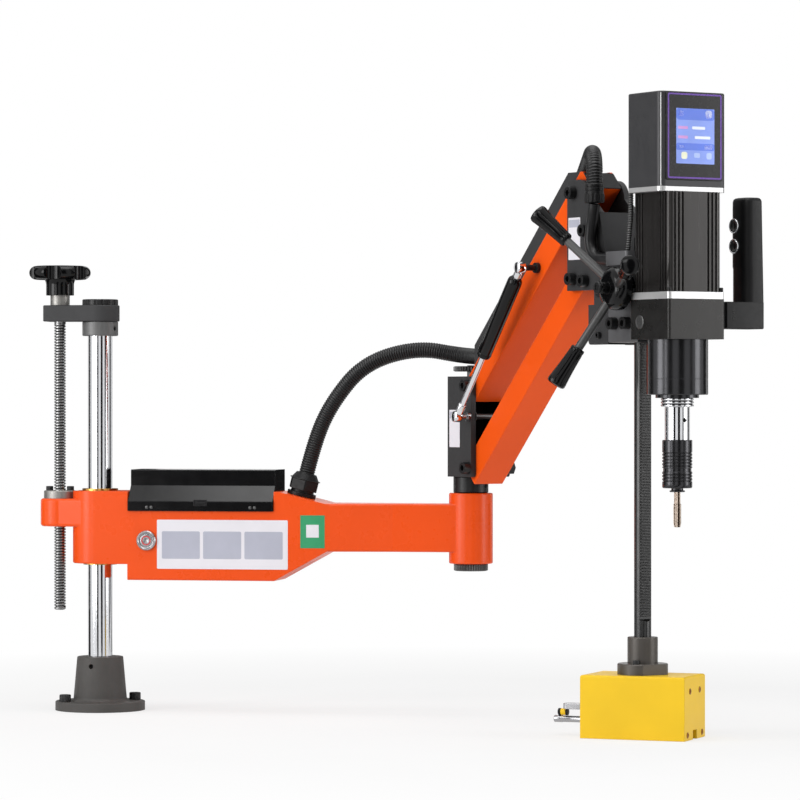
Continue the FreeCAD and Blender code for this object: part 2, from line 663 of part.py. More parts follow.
def pinion_shaft():
    """Pinion of 14 involute teeth between its two journals."""
    base = PINION_PITCH_RADIUS * math.cos(math.radians(20))
    tip, root = PINION_PITCH_RADIUS + MODULE, PINION_PITCH_RADIUS - DEDENDUM
    thickness = (math.pi * MODULE - BACKLASH) / 2
    at_pitch = thickness / (2 * PINION_PITCH_RADIUS) + math.tan(math.radians(20)) - math.radians(20)

    def half_angle(radius):
        pressure = math.acos(min(1.0, base / radius))
        return at_pitch - math.tan(pressure) + pressure

    radii = [root, base, base + 0.5, base + 1.1, tip]
    path = []
    for k in range(PINION_TEETH):
        middle = math.pi + 2 * math.pi * k / PINION_TEETH
        flank = [(r, half_angle(max(r, base))) for r in radii]
        for r, half in flank:
            path.append((r, middle - half))
        for r, half in reversed(flank):
            path.append((r, middle + half))
    points = [(PINION_X + r * math.cos(t), PINION_Z + r * math.sin(t)) for r, t in path]
    gear = extrude("xz", points, -9, 9)
    return fused(
        gear,
        across(10.34, -34, -10, PINION_X, PINION_Z),
        across(6, 10, 31, PINION_X, PINION_Z),
        across(6.5, -10.5, 10.5, PINION_X, PINION_Z),
    )


def capstan():
    """Three-spoke capstan: domed hub, forward-leaning rods and tapered knobs."""
    x, z = PINION_X, PINION_Z
    neck = [(0, -34), (18, -34), (18, -43.8), (26.5, -43.8), (28.5, -46), (28.5, -51)]
    dome = [((25, -61), (15, -66)), (8, -66), (8, -77), (6, -79), (0, -79)]
    face = Part.Face(outline("xy", neck + dome, 0))
    hub = face.revolve(V(0, 0, 0), V(0, 1, 0), 360)
    hub.translate(V(x, 0, z))
    rods, knobs, sockets = [], [], []
    for angle in (11, 131, 251):
        heading = V(130 * math.cos(math.radians(angle)), -67, 130 * math.sin(math.radians(angle)))
        heading.normalize()
        origin = V(x, -50, z)
        rods.append(rod(origin + heading * 14, origin + heading * 100, 5.5))
        sockets.append(rod(origin + heading * 14, origin + heading * 60, 5.5))
        knob = cone(origin + heading * 88, origin + heading * 142, 12, 13)
        knob = fused(knob, cone(origin + heading * 142, origin + heading * 146, 13, 10))
        knobs.append(knob.cut(rod(origin + heading * 80, origin + heading * 100, 5.5)))
    return {
        "pinion_shaft": pinion_shaft(),
        "capstan_hub": cut(hub, *sockets),
        "capstan_rods": Part.makeCompound(rods),
        "capstan_knobs": Part.makeCompound(knobs),
    }


def magnet_foot():
    """Permanent magnet base with its two pole shoes, switch shaft and the flange of the post."""
    block = rounded(box(-70, 70, -43, 43, 0, 81), 3, lambda b: b.ZMin > 5)
    tab = box(-89, -69, -9, 9, 34, 41)
    block = fused(block, rounded(tab, 3, lambda b: standing(b) and b.XMax < -80))
    groove = box(-75, 75, -8, 8, -1, 12)
    block = cut(block, groove, rod(V(-71, 0, 20.6), V(-45, 0, 20.6), 4.3))
    lever = fused(
        rod(V(-99, 0, 20.6), V(-46, 0, 20.6), 4.25),
        rod(V(-76, 0, 20.6), V(-70.4, 0, 20.6), 8),
    )
    for shape in (block, lever):
        shape.rotate(V(0, 0, 0), V(0, 0, 1), 37)
        shape.translate(V(POST_X, 0, 0))
    edge = [(32.5, 81), (32.5, 94), (31.5, 95), (19.5, 95), (19.5, 128), (18.5, 129)]
    flange = turned([(11, 81)] + edge + [(11, 129)], POST_X)
    flange = flange.cut(box(POST_X + 27, POST_X + 40, -40, 40, 80, 96))
    return {"rack_post": rack_post(), "post_flange": flange, "magnet_base": block, "magnet_lever": lever}


# ---- conduits ----


def to_world(x, y, z):
    """Point of the arm 2 frame in the frame of the column."""
    turn = math.radians(ARM_2_HEADING)
    return V(
        ARM_1_LENGTH + x * math.cos(turn) - y * math.sin(turn), x * math.sin(turn) + y * math.cos(turn), z
    )


def in_trough(t, offset=24.0, y=-6.0):
    """Point in the cable trough at distance t from the elbow pivot, arm 2 frame."""
    rise = math.radians(ARM_2_RISE)
    x = LINK_PIVOT_X + t * math.cos(rise) - offset * math.sin(rise)
    return (x, y, UPPER_PIVOT_Z + t * math.sin(rise) + offset * math.cos(rise))


def conduits():
    """Conduit from arm 1 into the trough, on to the head, and the two lines below it."""
    lower = [gland_point(20.3), V(306, 0, 377), V(331, 0, 430), V(376, 0, 483.5), V(450, 0, 505)]
    lower += [V(514, 0, 493), to_world(*in_trough(45, 10.0)), to_world(*in_trough(113, 21.0))]
    hoop = [(17.3, 749.7), (39.9, 753.9), (60.2, 745.3), (71.2, 728.6), (71.2, 711)]
    upper = [in_trough(115, 21.3), in_trough(215, 22.5, -5.0)]
    upper += [in_trough(295, 24.0, -4.5), in_trough(345, 24.0, -4.0)]
    upper += [(300 + 0.885 * h, -4.5 - 0.49 * h, z) for h, z in hoop]
    lead = [(362.6, -39.5, 685.2), (356.5, -40, 657), (352.5, -40, 634)]
    lead += [(365, -40, 615.5), (386, -39.6, 613), (400.9, -37.5, 613.5)]
    hose = [(456, -46.5, 694.3), (456.4, -46.5, 668), (452, -45.6, 644), (447, -44.5, 622.9)]
    return (
        {"conduit_lower": swept("conduit_lower", lower, CONDUIT_DIA)},
        {
            "conduit_upper": swept("conduit_upper", [V(*p) for p in upper], CONDUIT_DIA),
            "motor_lead": swept("motor_lead", [V(*p) for p in lead], LEAD_DIA),
            "motor_hose": swept("motor_hose", [V(*p) for p in hose], HOSE_DIA),
        },
    )


def main():
    world = {}
    for group in (column(), top_bracket(), height_screw(), arm_1()):
        world.update(group)
    arm_1_conduit, head_lines = conduits()
    world.update(arm_1_conduit)
    turned_parts = {}
    for group in (elbow(), arm_2(), gas_spring(), head(), capstan(), magnet_foot(), head_lines):
        turned_parts.update(group)
    for name, shape in turned_parts.items():
        shape.rotate(V(0, 0, 0), V(0, 0, 1), ARM_2_HEADING)
        shape.translate(V(ARM_1_LENGTH, 0, 0))
        world[name] = shape
    os.makedirs("parts", exist_ok=True)
    for name, shape in world.items():
        shape.exportStep(f"parts/{name}.step")
    print(f"{len(world)} nodes")


main()
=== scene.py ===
from math import atan2, copysign, cos, pi, radians, sin

import bmesh
import bpy
from mathutils import Matrix, Vector


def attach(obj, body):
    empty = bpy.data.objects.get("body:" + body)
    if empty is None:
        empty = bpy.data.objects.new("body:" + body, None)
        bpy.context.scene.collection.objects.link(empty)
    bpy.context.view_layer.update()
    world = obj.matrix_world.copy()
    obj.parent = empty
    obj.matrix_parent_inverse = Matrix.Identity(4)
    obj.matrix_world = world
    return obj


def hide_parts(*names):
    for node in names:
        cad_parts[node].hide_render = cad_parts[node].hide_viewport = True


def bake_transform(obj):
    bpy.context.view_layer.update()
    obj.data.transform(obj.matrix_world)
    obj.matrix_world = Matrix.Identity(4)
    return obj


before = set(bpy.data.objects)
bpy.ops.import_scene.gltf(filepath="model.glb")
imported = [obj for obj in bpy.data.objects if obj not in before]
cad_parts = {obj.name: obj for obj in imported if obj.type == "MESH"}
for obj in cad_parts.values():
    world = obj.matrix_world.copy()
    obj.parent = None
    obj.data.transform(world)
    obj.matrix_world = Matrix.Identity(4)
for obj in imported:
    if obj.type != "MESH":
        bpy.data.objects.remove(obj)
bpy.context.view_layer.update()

# Arm tapping machine. The scene is in metres. Helpers take millimetres, in the frame of the
# column (WORLD) or in the frame of arm 2 (ARM_2: x along the arm, -y on the operator's side).

MM = 0.001
MICRON = 1e-6
METRES = Matrix.Identity(4)
WORLD = Matrix.Scale(MM, 4)
SWIVEL_X = 0.525
ARM_2_HEADING = radians(-48.6)
ARM_2 = Matrix.Translation((SWIVEL_X, 0, 0)) @ Matrix.Rotation(ARM_2_HEADING, 4, "Z") @ WORLD
UP, FRONT, BACK, RIGHT = (0, 0, 1), (0, -1, 0), (0, 1, 0), (1, 0, 0)

# Column and arm 1.
SCREW_X, SCREW_PITCH = -58, 4.0
FLANGE_TOP, FLANGE_SCREW_REACH, FLANGE_SCREW_HEADING = 12.5, 52, 35.4
ARM_FRONT_Y, ARM_BEND_X, ARM_TAPER = -38, 315, 13 / 105
CASE_FRONT_Y = -41
BUTTON_X, BUTTON_Z = 76, 238

# Arm 2, its head and its foot.
ARM_2_RISE = radians(44.0)
ELBOW_PIVOT = (43, 0, 452)
LOWER_BALL = (46, -50, 410)
SPRING_RISE, SPRING_LENGTH = 51.33, 253
CHEEK_Y = -31.4
SPINDLE_X = 492
HEAD_FRONT_X, HEAD_SIDE_Y = 528, 43
CAPSTAN_X, CAPSTAN_Z = 430.77, 575
GRIP_BUTTON_X, GRIP_INNER_Y = 486, 93.2
SPINDLE = ARM_2 @ Matrix.Translation((SPINDLE_X, 0, 0))
POST_X = 415
MAGNET_HEADING = radians(37)
MAGNET_END_X = 70

# ---- objects ----


def add_object(name, data):
    thing = bpy.data.objects.new(name, data)
    bpy.context.scene.collection.objects.link(thing)
    return thing


def mesh_data(name, mesh):
    """Mesh data of a bmesh, which is freed."""
    data = bpy.data.meshes.new(name)
    mesh.to_mesh(data)
    mesh.free()
    return data


# ---- camera ----

PHOTO_FOCAL_PX = 3900
PHOTO_WIDTH_PX = 800
SENSOR_MM = 36.0
CAMERA_PLACE = (1.396, -5.286, 0.4325)
CAMERA_LOOK = (-0.1805, 0.9836, 0.0)


def add_camera():
    data = bpy.data.cameras.new("camera")
    data.sensor_width = SENSOR_MM
    data.lens = PHOTO_FOCAL_PX * SENSOR_MM / PHOTO_WIDTH_PX
    data.clip_start = 0.1
    data.clip_end = 100
    camera = add_object("camera", data)
    camera.location = CAMERA_PLACE
    camera.rotation_euler = Vector(CAMERA_LOOK).to_track_quat("-Z", "Y").to_euler()
    bpy.context.scene.camera = camera


# ---- materials ----


def srgb(red, green, blue):
    """Linear colour from 0-255 display values."""
    linear = []
    for value in (red, green, blue):
        share = value / 255
        linear.append(share / 12.92 if share <= 0.04045 else ((share + 0.055) / 1.055) ** 2.4)
    return (*linear, 1.0)


def shade(colour, factor):
    return (*[min(1.0, channel * factor) for channel in colour[:3]], 1.0)


class Nodes:
    """A node tree with short ways to add and link its nodes."""

    def __init__(self, owner):
        owner.use_nodes = True
        self.tree = owner.node_tree
        self.shader = self.tree.nodes.get("Principled BSDF")
        self.place = self.add("ShaderNodeTexCoord").outputs["Object"]

    def add(self, kind, settings=(), **inputs):
        node = self.tree.nodes.new(kind)
        for name, value in dict(settings).items():
            setattr(node, name, value)
        for name, value in inputs.items():
            self.feed(node.inputs[name.replace("_", " ")], value)
        return node

    def feed(self, socket, value):
        if isinstance(value, bpy.types.NodeSocket):
            self.tree.links.new(value, socket)
        else:
            socket.default_value = value

    def fix(self, **values):
        """Sets numbers or colours of the shader that are the same all over the surface."""
        for name, value in values.items():
            self.shader.inputs[name.replace("_", " ")].default_value = value

    def noise(self, scale, stretch=(1, 1, 1), detail=3.0, rough=0.55):
        place = self.place
        if tuple(stretch) != (1, 1, 1):
            place = self.add("ShaderNodeMapping", Vector=self.place, Scale=stretch).outputs[0]
        node = self.add("ShaderNodeTexNoise", Vector=place, Scale=scale, Detail=detail, Roughness=rough)
        return node.outputs["Fac"]

    def ranged(self, value, low, high, from_low=0.25, from_high=0.75):
        node = self.add("ShaderNodeMapRange", Value=value)
        sockets = {"From Min": from_low, "From Max": from_high, "To Min": low, "To Max": high}
        for name, number in sockets.items():
            node.inputs[name].default_value = number
        return node.outputs["Result"]

    def mix(self, factor, first, second):
        node = self.add("ShaderNodeMix", {"data_type": "RGBA"})
        self.feed(node.inputs[0], factor)
        self.feed(node.inputs[6], first)
        self.feed(node.inputs[7], second)
        return node.outputs[2]

    def maths(self, operation, first, second):
        node = self.add("ShaderNodeMath", {"operation": operation})
        self.feed(node.inputs[0], first)
        self.feed(node.inputs[1], second)
        return node.outputs[0]

    def edges(self, radius):
        """1 on outer edges of the solid, 0 on its faces, and the rounded normal."""
        rounded = self.add("ShaderNodeBevel", {"samples": 6})
        rounded.inputs["Radius"].default_value = radius
        plain = self.add("ShaderNodeNewGeometry").outputs["Normal"]
        both = self.add("ShaderNodeVectorMath", {"operation": "DOT_PRODUCT"})
        self.feed(both.inputs[0], rounded.outputs["Normal"])
        self.feed(both.inputs[1], plain)
        return self.ranged(both.outputs["Value"], 1.0, 0.0, 0.8, 0.995), rounded.outputs["Normal"]


PAINTED_SHADE_REACH = 0.07
COAT_ROUGHNESS = 0.12

finishes = {}


def add_finish(
    name, colour, roughness, metallic=0.0, specular=0.5, coat=0.0, mottle=14.0, vary=0.06,
    grain=900.0, relief=10, stretch=(1, 1, 1), edge=0.6, wear_and_glint=0.0, worn_glint=None, spread=0.06, recess=1.0,
):
    """A finish: mottled colour, uneven gloss, surface relief, paler edges that are partly wear and partly
    painted highlight, and painted shade in recesses.

    Colours are 0-255 display values, relief is in micrometres and edge in millimetres.
    """
    colour = srgb(*colour)
    material = bpy.data.materials.new(f"{name}_finish")
    nodes = Nodes(material)
    shader = nodes.shader
    patches = nodes.noise(mottle, stretch)
    tone = nodes.mix(
        nodes.ranged(patches, 0.0, 1.0), shade(colour, 1 - vary), shade(colour, 1 + vary)
    )
    rubbed_lit_edge, normal = nodes.edges(edge * MM)
    # Paler edges in patches: partly wear, partly a painted highlight along the edges.
    if wear_and_glint:
        chips = nodes.ranged(nodes.noise(mottle * 12), 0.0, wear_and_glint, 0.42, 0.62)
        tone = nodes.mix(nodes.maths("MULTIPLY", rubbed_lit_edge, chips), tone, srgb(*worn_glint))
    # Painted shade: where ambient occlusion finds surfaces close by, in recesses and between parts, the
    # colour darkens towards recess times itself.
    if recess < 1:
        occlusion_shade = nodes.add("ShaderNodeAmbientOcclusion", {"samples": 8})
        occlusion_shade.inputs["Distance"].default_value = PAINTED_SHADE_REACH
        depth = nodes.ranged(occlusion_shade.outputs["AO"], 0.0, 1.0, 0.2, 0.75)
        tone = nodes.mix(depth, shade(colour, recess), tone)
    nodes.feed(shader.inputs["Base Color"], tone)
    gloss = nodes.noise(mottle * 6, stretch, detail=4.0)
    low, high = max(0.02, roughness - spread), roughness + spread
    nodes.feed(shader.inputs["Roughness"], nodes.ranged(gloss, low, high))
    grit = nodes.noise(grain, stretch, detail=2.0)
    bump = nodes.add("ShaderNodeBump", Height=grit, Normal=normal)
    bump.inputs["Strength"].default_value = 1.0
    bump.inputs["Distance"].default_value = relief * MICRON
    nodes.feed(shader.inputs["Normal"], bump.outputs["Normal"])
    nodes.fix(Metallic=metallic, Specular_IOR_Level=specular)
    if coat:
        nodes.fix(Coat_Weight=coat, Coat_Roughness=COAT_ROUGHNESS)
    finishes[name] = material


TURNED = (1, 1, 60)

add_finish(
    "orange", (236, 80, 14), 0.28, specular=0.28, mottle=7, vary=0.04, grain=420, relief=30, edge=1.4,
    wear_and_glint=0.5, worn_glint=(250, 120, 66), spread=0.02
)
# Links: painted shade darkens their recesses and the space between them.
add_finish(
    "link_orange", (238, 86, 16), 0.3, specular=0.16, mottle=8, vary=0.04, grain=520, relief=20, edge=1,
    wear_and_glint=0.5, worn_glint=(252, 130, 76), spread=0.02, recess=0.3
)
add_finish(
    "yellow", (246, 202, 28), 0.4, specular=0.3, mottle=12, vary=0.05, grain=520, relief=60, edge=1.2,
    wear_and_glint=0.3, worn_glint=(252, 222, 130), spread=0.03
)
add_finish(
    "cast_grey", (74, 72, 70), 0.55, specular=0.3, mottle=30, vary=0.12, grain=700, relief=220, edge=1,
    wear_and_glint=0.3, worn_glint=(110, 108, 104)
)
# Brackets: strong painted shade in their recesses.
add_finish(
    "bracket_grey", (54, 54, 55), 0.48, specular=0.2, mottle=25, vary=0.08, grain=1500, relief=60,
    wear_and_glint=0.35, worn_glint=(104, 104, 104), recess=0.12
)
add_finish(
    "lug_grey", (60, 60, 61), 0.5, specular=0.2, mottle=25, vary=0.08, grain=1300, relief=100, wear_and_glint=0.35,
    worn_glint=(104, 104, 104)
)
add_finish(
    "black_oxide", (24, 24, 25), 0.34, specular=0.3, mottle=40, vary=0.15, grain=1600, relief=30,
    wear_and_glint=0.35, worn_glint=(100, 100, 101)
)
add_finish(
    "black_lacquer", (14, 14, 15), 0.2, specular=0.28, coat=0.08, mottle=20, vary=0.15, wear_and_glint=0.3,
    worn_glint=(90, 90, 92), spread=0.03
)
add_finish(
    "chuck_black", (58, 58, 60), 0.2, metallic=0.85, mottle=20, vary=0.1, edge=0.4, wear_and_glint=0.3,
    worn_glint=(120, 120, 122), spread=0.03
)
add_finish(
    "foot_grey", (78, 74, 70), 0.36, metallic=0.4, mottle=30, vary=0.1, relief=30, edge=0.8, wear_and_glint=0.3,
    worn_glint=(120, 116, 110)
)
add_finish(
    "collar_grey", (104, 104, 104), 0.42, metallic=0.4, specular=0.3, mottle=30, vary=0.08, grain=500,
    relief=20, stretch=TURNED, wear_and_glint=0.4, worn_glint=(160, 160, 160)
)
add_finish(
    "chrome", (216, 217, 220), 0.08, metallic=1, mottle=10, vary=0.03, grain=260, relief=6,
    stretch=TURNED, edge=0.4, spread=0.03
)
add_finish(
    "steel", (150, 150, 150), 0.28, metallic=1, mottle=18, vary=0.07, grain=300, relief=12,
    stretch=TURNED, edge=0.5
)
# Dark finish of the thread roots and hose valleys: painted shade in the creases.
add_finish("root_shade", (36, 36, 36), 0.5, metallic=0.3, mottle=60, vary=0.15, edge=0.2)
add_finish(
    "satin_steel", (168, 168, 170), 0.28, metallic=1, mottle=24, vary=0.08, grain=1400, relief=12,
    edge=0.4
)
add_finish(
    "post_steel", (64, 64, 64), 0.22, metallic=0.9, mottle=22, vary=0.1, grain=420, relief=5, edge=0.2,
    wear_and_glint=0.6, worn_glint=(170, 170, 170), spread=0.03
)
add_finish(
    "rod_grey", (84, 84, 84), 0.32, metallic=0.7, mottle=30, vary=0.1, grain=1500, relief=20, edge=0.4
)
add_finish("hose_steel", (96, 96, 96), 0.3, metallic=1, mottle=60, vary=0.12, grain=1500, edge=0.2)
add_finish(
    "brass", (206, 162, 84), 0.24, metallic=1, mottle=25, vary=0.1, grain=300, relief=12, stretch=TURNED,
    edge=0.5
)
add_finish("nickel", (150, 148, 144), 0.42, metallic=0.8, mottle=35, vary=0.08, relief=30)
add_finish(
    "gloss_black", (14, 14, 15), 0.16, specular=0.3, mottle=8, vary=0.2, grain=260, edge=0.8, wear_and_glint=0.4,
    worn_glint=(52, 52, 54), spread=0.03
)
add_finish(
    "moulded_black", (17, 17, 18), 0.4, specular=0.22, mottle=30, vary=0.15, grain=1900, relief=50,
    edge=0.8
)
add_finish(
    "phenolic", (8, 8, 9), 0.14, specular=0.22, coat=0.04, mottle=20, vary=0.2, grain=300, edge=0.8,
    spread=0.03
)
add_finish(
    "conduit", (18, 18, 19), 0.36, specular=0.35, mottle=60, vary=0.2, grain=1600, relief=20, edge=0.3
)
add_finish("rubber", (24, 24, 25), 0.34, specular=0.3, mottle=40, vary=0.2, relief=30, edge=0.3)
add_finish(
    "anodised", (44, 42, 41), 0.24, metallic=0.4, mottle=20, vary=0.1, grain=1200, stretch=(1, 1, 0.05),
    edge=0.5, wear_and_glint=0.5, worn_glint=(120, 118, 116)
)
add_finish(
    "gear_grey", (38, 37, 36), 0.3, metallic=0.5, mottle=12, vary=0.08, grain=700, relief=4, edge=0.8,
    wear_and_glint=0.4, worn_glint=(120, 118, 116)
)
add_finish(
    "housing_grey", (60, 60, 62), 0.36, metallic=0.2, specular=0.3, mottle=10, grain=1700, relief=30,
    edge=1, wear_and_glint=0.5, worn_glint=(130, 130, 132)
)
add_finish(
    "milled_alu", (206, 206, 206), 0.34, metallic=0.7, mottle=30, vary=0.05, relief=20, stretch=(1, 1, 8)
)
add_finish(
    "cast_alu", (96, 96, 98), 0.46, metallic=0.4, specular=0.3, mottle=30, vary=0.08, grain=1500,
    relief=50, edge=0.8, wear_and_glint=0.3, worn_glint=(150, 150, 152)
)
# Dark finish of the tap's flutes: painted shade.
add_finish("flute_shade", (92, 78, 66), 0.36, metallic=0.9, mottle=60, vary=0.15, edge=0.2)
add_finish("screw_brass", (150, 98, 30), 0.36, metallic=0.5, mottle=60, vary=0.12, edge=0.3)
add_finish("tap_steel", (190, 174, 160), 0.22, metallic=1, mottle=40, vary=0.1, grain=600, edge=0.2)
VINYL = {"roughness": 0.4, "specular": 0.3, "mottle": 25, "grain": 1500, "edge": 0.2}
add_finish("white_vinyl", (226, 224, 230), vary=0.02, **VINYL)
add_finish("pale_panel", (176, 178, 192), vary=0.05, **VINYL)
add_finish("green_vinyl", (54, 152, 104), vary=0.04, **VINYL)
add_finish(
    "panel_black", (26, 25, 27), 0.26, specular=0.25, coat=0.05, mottle=20, vary=0.12, grain=1200,
    edge=0.5
)
add_finish("purple_line", (100, 46, 168), 0.3, mottle=40, vary=0.08, grain=1200, edge=0.2)
add_finish("red_ring", (206, 70, 74), 0.3, mottle=60, vary=0.08, grain=1200, edge=0.2)


SCREEN_GLOW = 0.2


def add_lit_area(name, colour):
    """A backlit area of the display, a little uneven as such panels are."""
    material = bpy.data.materials.new(name)
    nodes = Nodes(material)
    cloud = nodes.ranged(nodes.noise(26.0, detail=1.0), 0.0, 1.0)
    tone = nodes.mix(cloud, shade(colour, 0.9), shade(colour, 1.1))
    nodes.feed(nodes.shader.inputs["Base Color"], tone)
    nodes.feed(nodes.shader.inputs["Emission Color"], tone)
    nodes.fix(Emission_Strength=SCREEN_GLOW)
    nodes.feed(nodes.shader.inputs["Roughness"], nodes.ranged(nodes.noise(90.0), 0.12, 0.22))
    finishes[name] = material


# The fields of the display name these by their place in the list.
SCREEN_COLOURS = {
    "screen_body": (134, 158, 236),
    "screen_bar": (92, 122, 222),
    "screen_white": (232, 238, 252),
    "screen_pink": (206, 150, 214),
    "screen_lamp": (238, 240, 214),
    "screen_pale": (176, 196, 246),
}
for name, colour in SCREEN_COLOURS.items():
    add_lit_area(name, srgb(*colour))

NODE_FINISH = {
    "orange": "arm_casting",
    "link_orange": "upper_link lower_link",
    "yellow": "magnet_base",
    "cast_grey": "base_flange",
    "foot_grey": "post_flange",
    "lug_grey": "top_bracket",
    "bracket_grey": "elbow_bracket head_bracket cable_trough",
    "collar_grey": "thrust_collar",
    "black_oxide": "column_cap swivel_collar elbow_pivot_bolts head_bolts upper_ball_stud",
    "chuck_black": "reducer_housing",
    "gear_grey": "gearbox_block",
    "chrome": "column_tube spindle",
    "steel": "swivel_shaft pinion_shaft",
    "satin_steel": "power_button_bezel power_button lower_ball_stud",
    "post_steel": "rack_post",
    "rod_grey": "capstan_rods",
    "brass": "column_bushes boss_bushes",
    "nickel": "screw_nut screw_collar",
    "gloss_black": "tool_case case_lid",
    "moulded_black": "gland_body gland_nut",
    "phenolic": "star_knob capstan_hub",
    "anodised": "motor_body",
    "housing_grey": "control_box",
    "milled_alu": "top_plate mid_plate",
    "cast_alu": "feed_box",
}


def dress_nodes():
    """Gives every carried-over node its finish."""
    for finish, names in NODE_FINISH.items():
        for name in names.split():
            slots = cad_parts[name].data.materials
            slots.clear()
            slots.append(finishes[finish])


# ---- mesh building ----


# Vertices this close are one: millimetres, and metres for the flexible lines.
WELD, LINE_WELD = 1e-4, 1e-5


def make_piece(name, mesh, finish, body, place=WORLD, smooth=35.0):
    """Puts a bmesh into the scene as one piece. finish is a name or a list of names."""
    weld = LINE_WELD if place is METRES else WELD
    bmesh.ops.remove_doubles(mesh, verts=mesh.verts, dist=weld)
    bmesh.ops.recalc_face_normals(mesh, faces=mesh.faces)
    data = mesh_data(name, mesh)
    data.transform(place)
    data.shade_smooth()
    data.set_sharp_from_angle(angle=radians(smooth))
    for key in [finish] if isinstance(finish, str) else finish:
        data.materials.append(finishes[key])
    piece = add_object(name, data)
    if body:
        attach(piece, body)
    return piece


def front_face(x, y, z):
    """Plane that faces the operator: local x to the right, local y up."""
    return Matrix.Translation((x, y, z)) @ Matrix.Rotation(radians(90), 4, "X")


def end_face(x, z):
    """Plane that faces +X: local x along +Y, local y up."""
    return Matrix(((0, 0, 1, x), (1, 0, 0, 0), (0, 1, 0, z), (0, 0, 0, 1)))


def axis_frame(centre, direction):
    """Matrix that takes +Z to direction and the origin to centre."""
    turn = Vector(direction).to_track_quat("Z", "Y").to_matrix().to_4x4()
    return Matrix.Translation(centre) @ turn


def polar(radius, angle, height=0.0):
    return Vector((radius * cos(angle), radius * sin(angle), height))


def skin(mesh, loops, material=0, closed=True):
    """Faces between closed loops of vertices, and over both ends if closed."""
    for low, high in zip(loops, loops[1:]):
        for k in range(len(low)):
            n = (k + 1) % len(low)
            mesh.faces.new((low[k], low[n], high[n], high[k])).material_index = material
    if closed:
        mesh.faces.new(loops[0][::-1]).material_index = material
        mesh.faces.new(loops[-1]).material_index = material


def strip(mesh, columns, material=0):
    """Bar through columns of four vertices: inner low, inner high, outer low, outer high."""
    for a, b in zip(columns, columns[1:]):
        for i, j in ((0, 1), (1, 3), (3, 2), (2, 0)):
            mesh.faces.new((a[i], b[i], b[j], a[j])).material_index = material
    for side in (columns[0], columns[-1]):
        mesh.faces.new((side[0], side[1], side[3], side[2])).material_index = material


def loft(mesh, rings, sides, place=METRES, material=0, closed=True):
    """Skins rings about +Z. A ring is (radius, height), and radius may be a function of angle."""
    rows = []
    for radius, height in rings:
        row = []
        for k in range(sides):
            angle = 2 * pi * k / sides
            reach = radius(angle) if callable(radius) else radius
            row.append(mesh.verts.new(place @ polar(reach, angle, height)))
        rows.append(row)
    skin(mesh, rows, material, closed)


def hexagon(across_flats):
    """Radius of a hexagon as a function of angle."""
    sixth = pi / 3

    def radius(angle):
        return across_flats / 2 / cos((angle + sixth / 2) % sixth - sixth / 2)

    return radius


def knurl(radius, teeth, depth):
    """Radius of a toothed rim as a function of angle."""

    def reach(angle):
        return radius - depth * (0.5 - 0.5 * cos(teeth * angle))

    return reach


def cap_screw(mesh, centre, direction, diameter, height=None, socket=0.5):
    """Head of a socket screw with a knurled rim, a chamfer and a hexagon recess."""
    height = height or diameter * 0.62
    outer, chamfer = diameter / 2, diameter * 0.05
    rim = knurl(outer, 24, diameter * 0.03)
    recess = hexagon(diameter * socket)
    rings = [(rim, 0), (rim, height - chamfer), (outer - chamfer, height)]
    rings += [(lambda a: recess(a) * 1.06, height), (recess, height - chamfer)]
    rings += [(recess, height * 0.45), (diameter * 0.03, height * 0.38)]
    loft(mesh, rings, 96, axis_frame(centre, direction))


def rounded_rectangle(width, height, corner, steps=5):
    """Outline points, counter-clockwise, centred on the origin."""
    points = []
    for k, (sx, sy) in enumerate(((1, 1), (-1, 1), (-1, -1), (1, -1))):
        for step in range(steps + 1):
            angle = pi / 2 * (k + step / steps)
            x = sx * (width / 2 - corner) + corner * cos(angle)
            y = sy * (height / 2 - corner) + corner * sin(angle)
            points.append((x, y))
    return points


def plate(mesh, place, width, height, thickness, corner, material=0, offset=(0, 0), lift=0.0):
    """Thin rounded plate on the plane of place, with a small chamfer round its face."""
    bevel = min(thickness * 0.4, corner * 0.5)
    layers = []
    for z, shrink in ((lift, 0), (lift + thickness - bevel, 0), (lift + thickness, bevel)):
        outline = rounded_rectangle(width - 2 * shrink, height - 2 * shrink, corner)
        row = [mesh.verts.new(place @ Vector((x + offset[0], y + offset[1], z))) for x, y in outline]
        layers.append(row)
    skin(mesh, layers, material)


def rim_line(mesh, place, width, height, line, thickness, corner, material=0, lift=0.0):
    """Raised frame of one line width round a rectangle."""
    outer = rounded_rectangle(width, height, corner)
    inner = rounded_rectangle(width - 2 * line, height - 2 * line, max(0.1, corner - line))
    loops = []
    for outline, z in ((outer, lift), (outer, lift + thickness), (inner, lift + thickness), (inner, lift)):
        loops.append([mesh.verts.new(place @ Vector((x, y, z))) for x, y in outline])
    skin(mesh, loops + loops[:1], material, closed=False)


# ---- flexible lines ----


def curve_points(name, route, place):
    """Points along the smooth line whose control points are the route."""
    curve = bpy.data.curves.new(name, "CURVE")
    curve.dimensions = "3D"
    curve.resolution_u = 24
    spline = curve.splines.new("NURBS")
    spline.points.add(len(route) - 1)
    for point, spot in zip(spline.points, route):
        point.co = (*(place @ Vector(spot)), 1.0)
    spline.order_u = 3
    spline.use_endpoint_u = True
    holder = add_object(name, curve)
    bpy.context.view_layer.update()
    data = bpy.data.meshes.new_from_object(holder)
    points = [v.co.copy() for v in data.vertices]
    bpy.data.objects.remove(holder)
    bpy.data.meshes.remove(data)
    bpy.data.curves.remove(curve)
    return points


def at_distances(points, distances):
    """Places on a polyline at the given distances from its start, with their directions."""
    places = []
    travelled, leg = 0.0, 0
    for distance in distances:
        length = (points[leg + 1] - points[leg]).length
        while travelled + length < distance and leg < len(points) - 2:
            travelled += length
            leg += 1
            length = (points[leg + 1] - points[leg]).length
        step = points[leg + 1] - points[leg]
        places.append((points[leg] + step * ((distance - travelled) / length), step.normalized()))
    return places


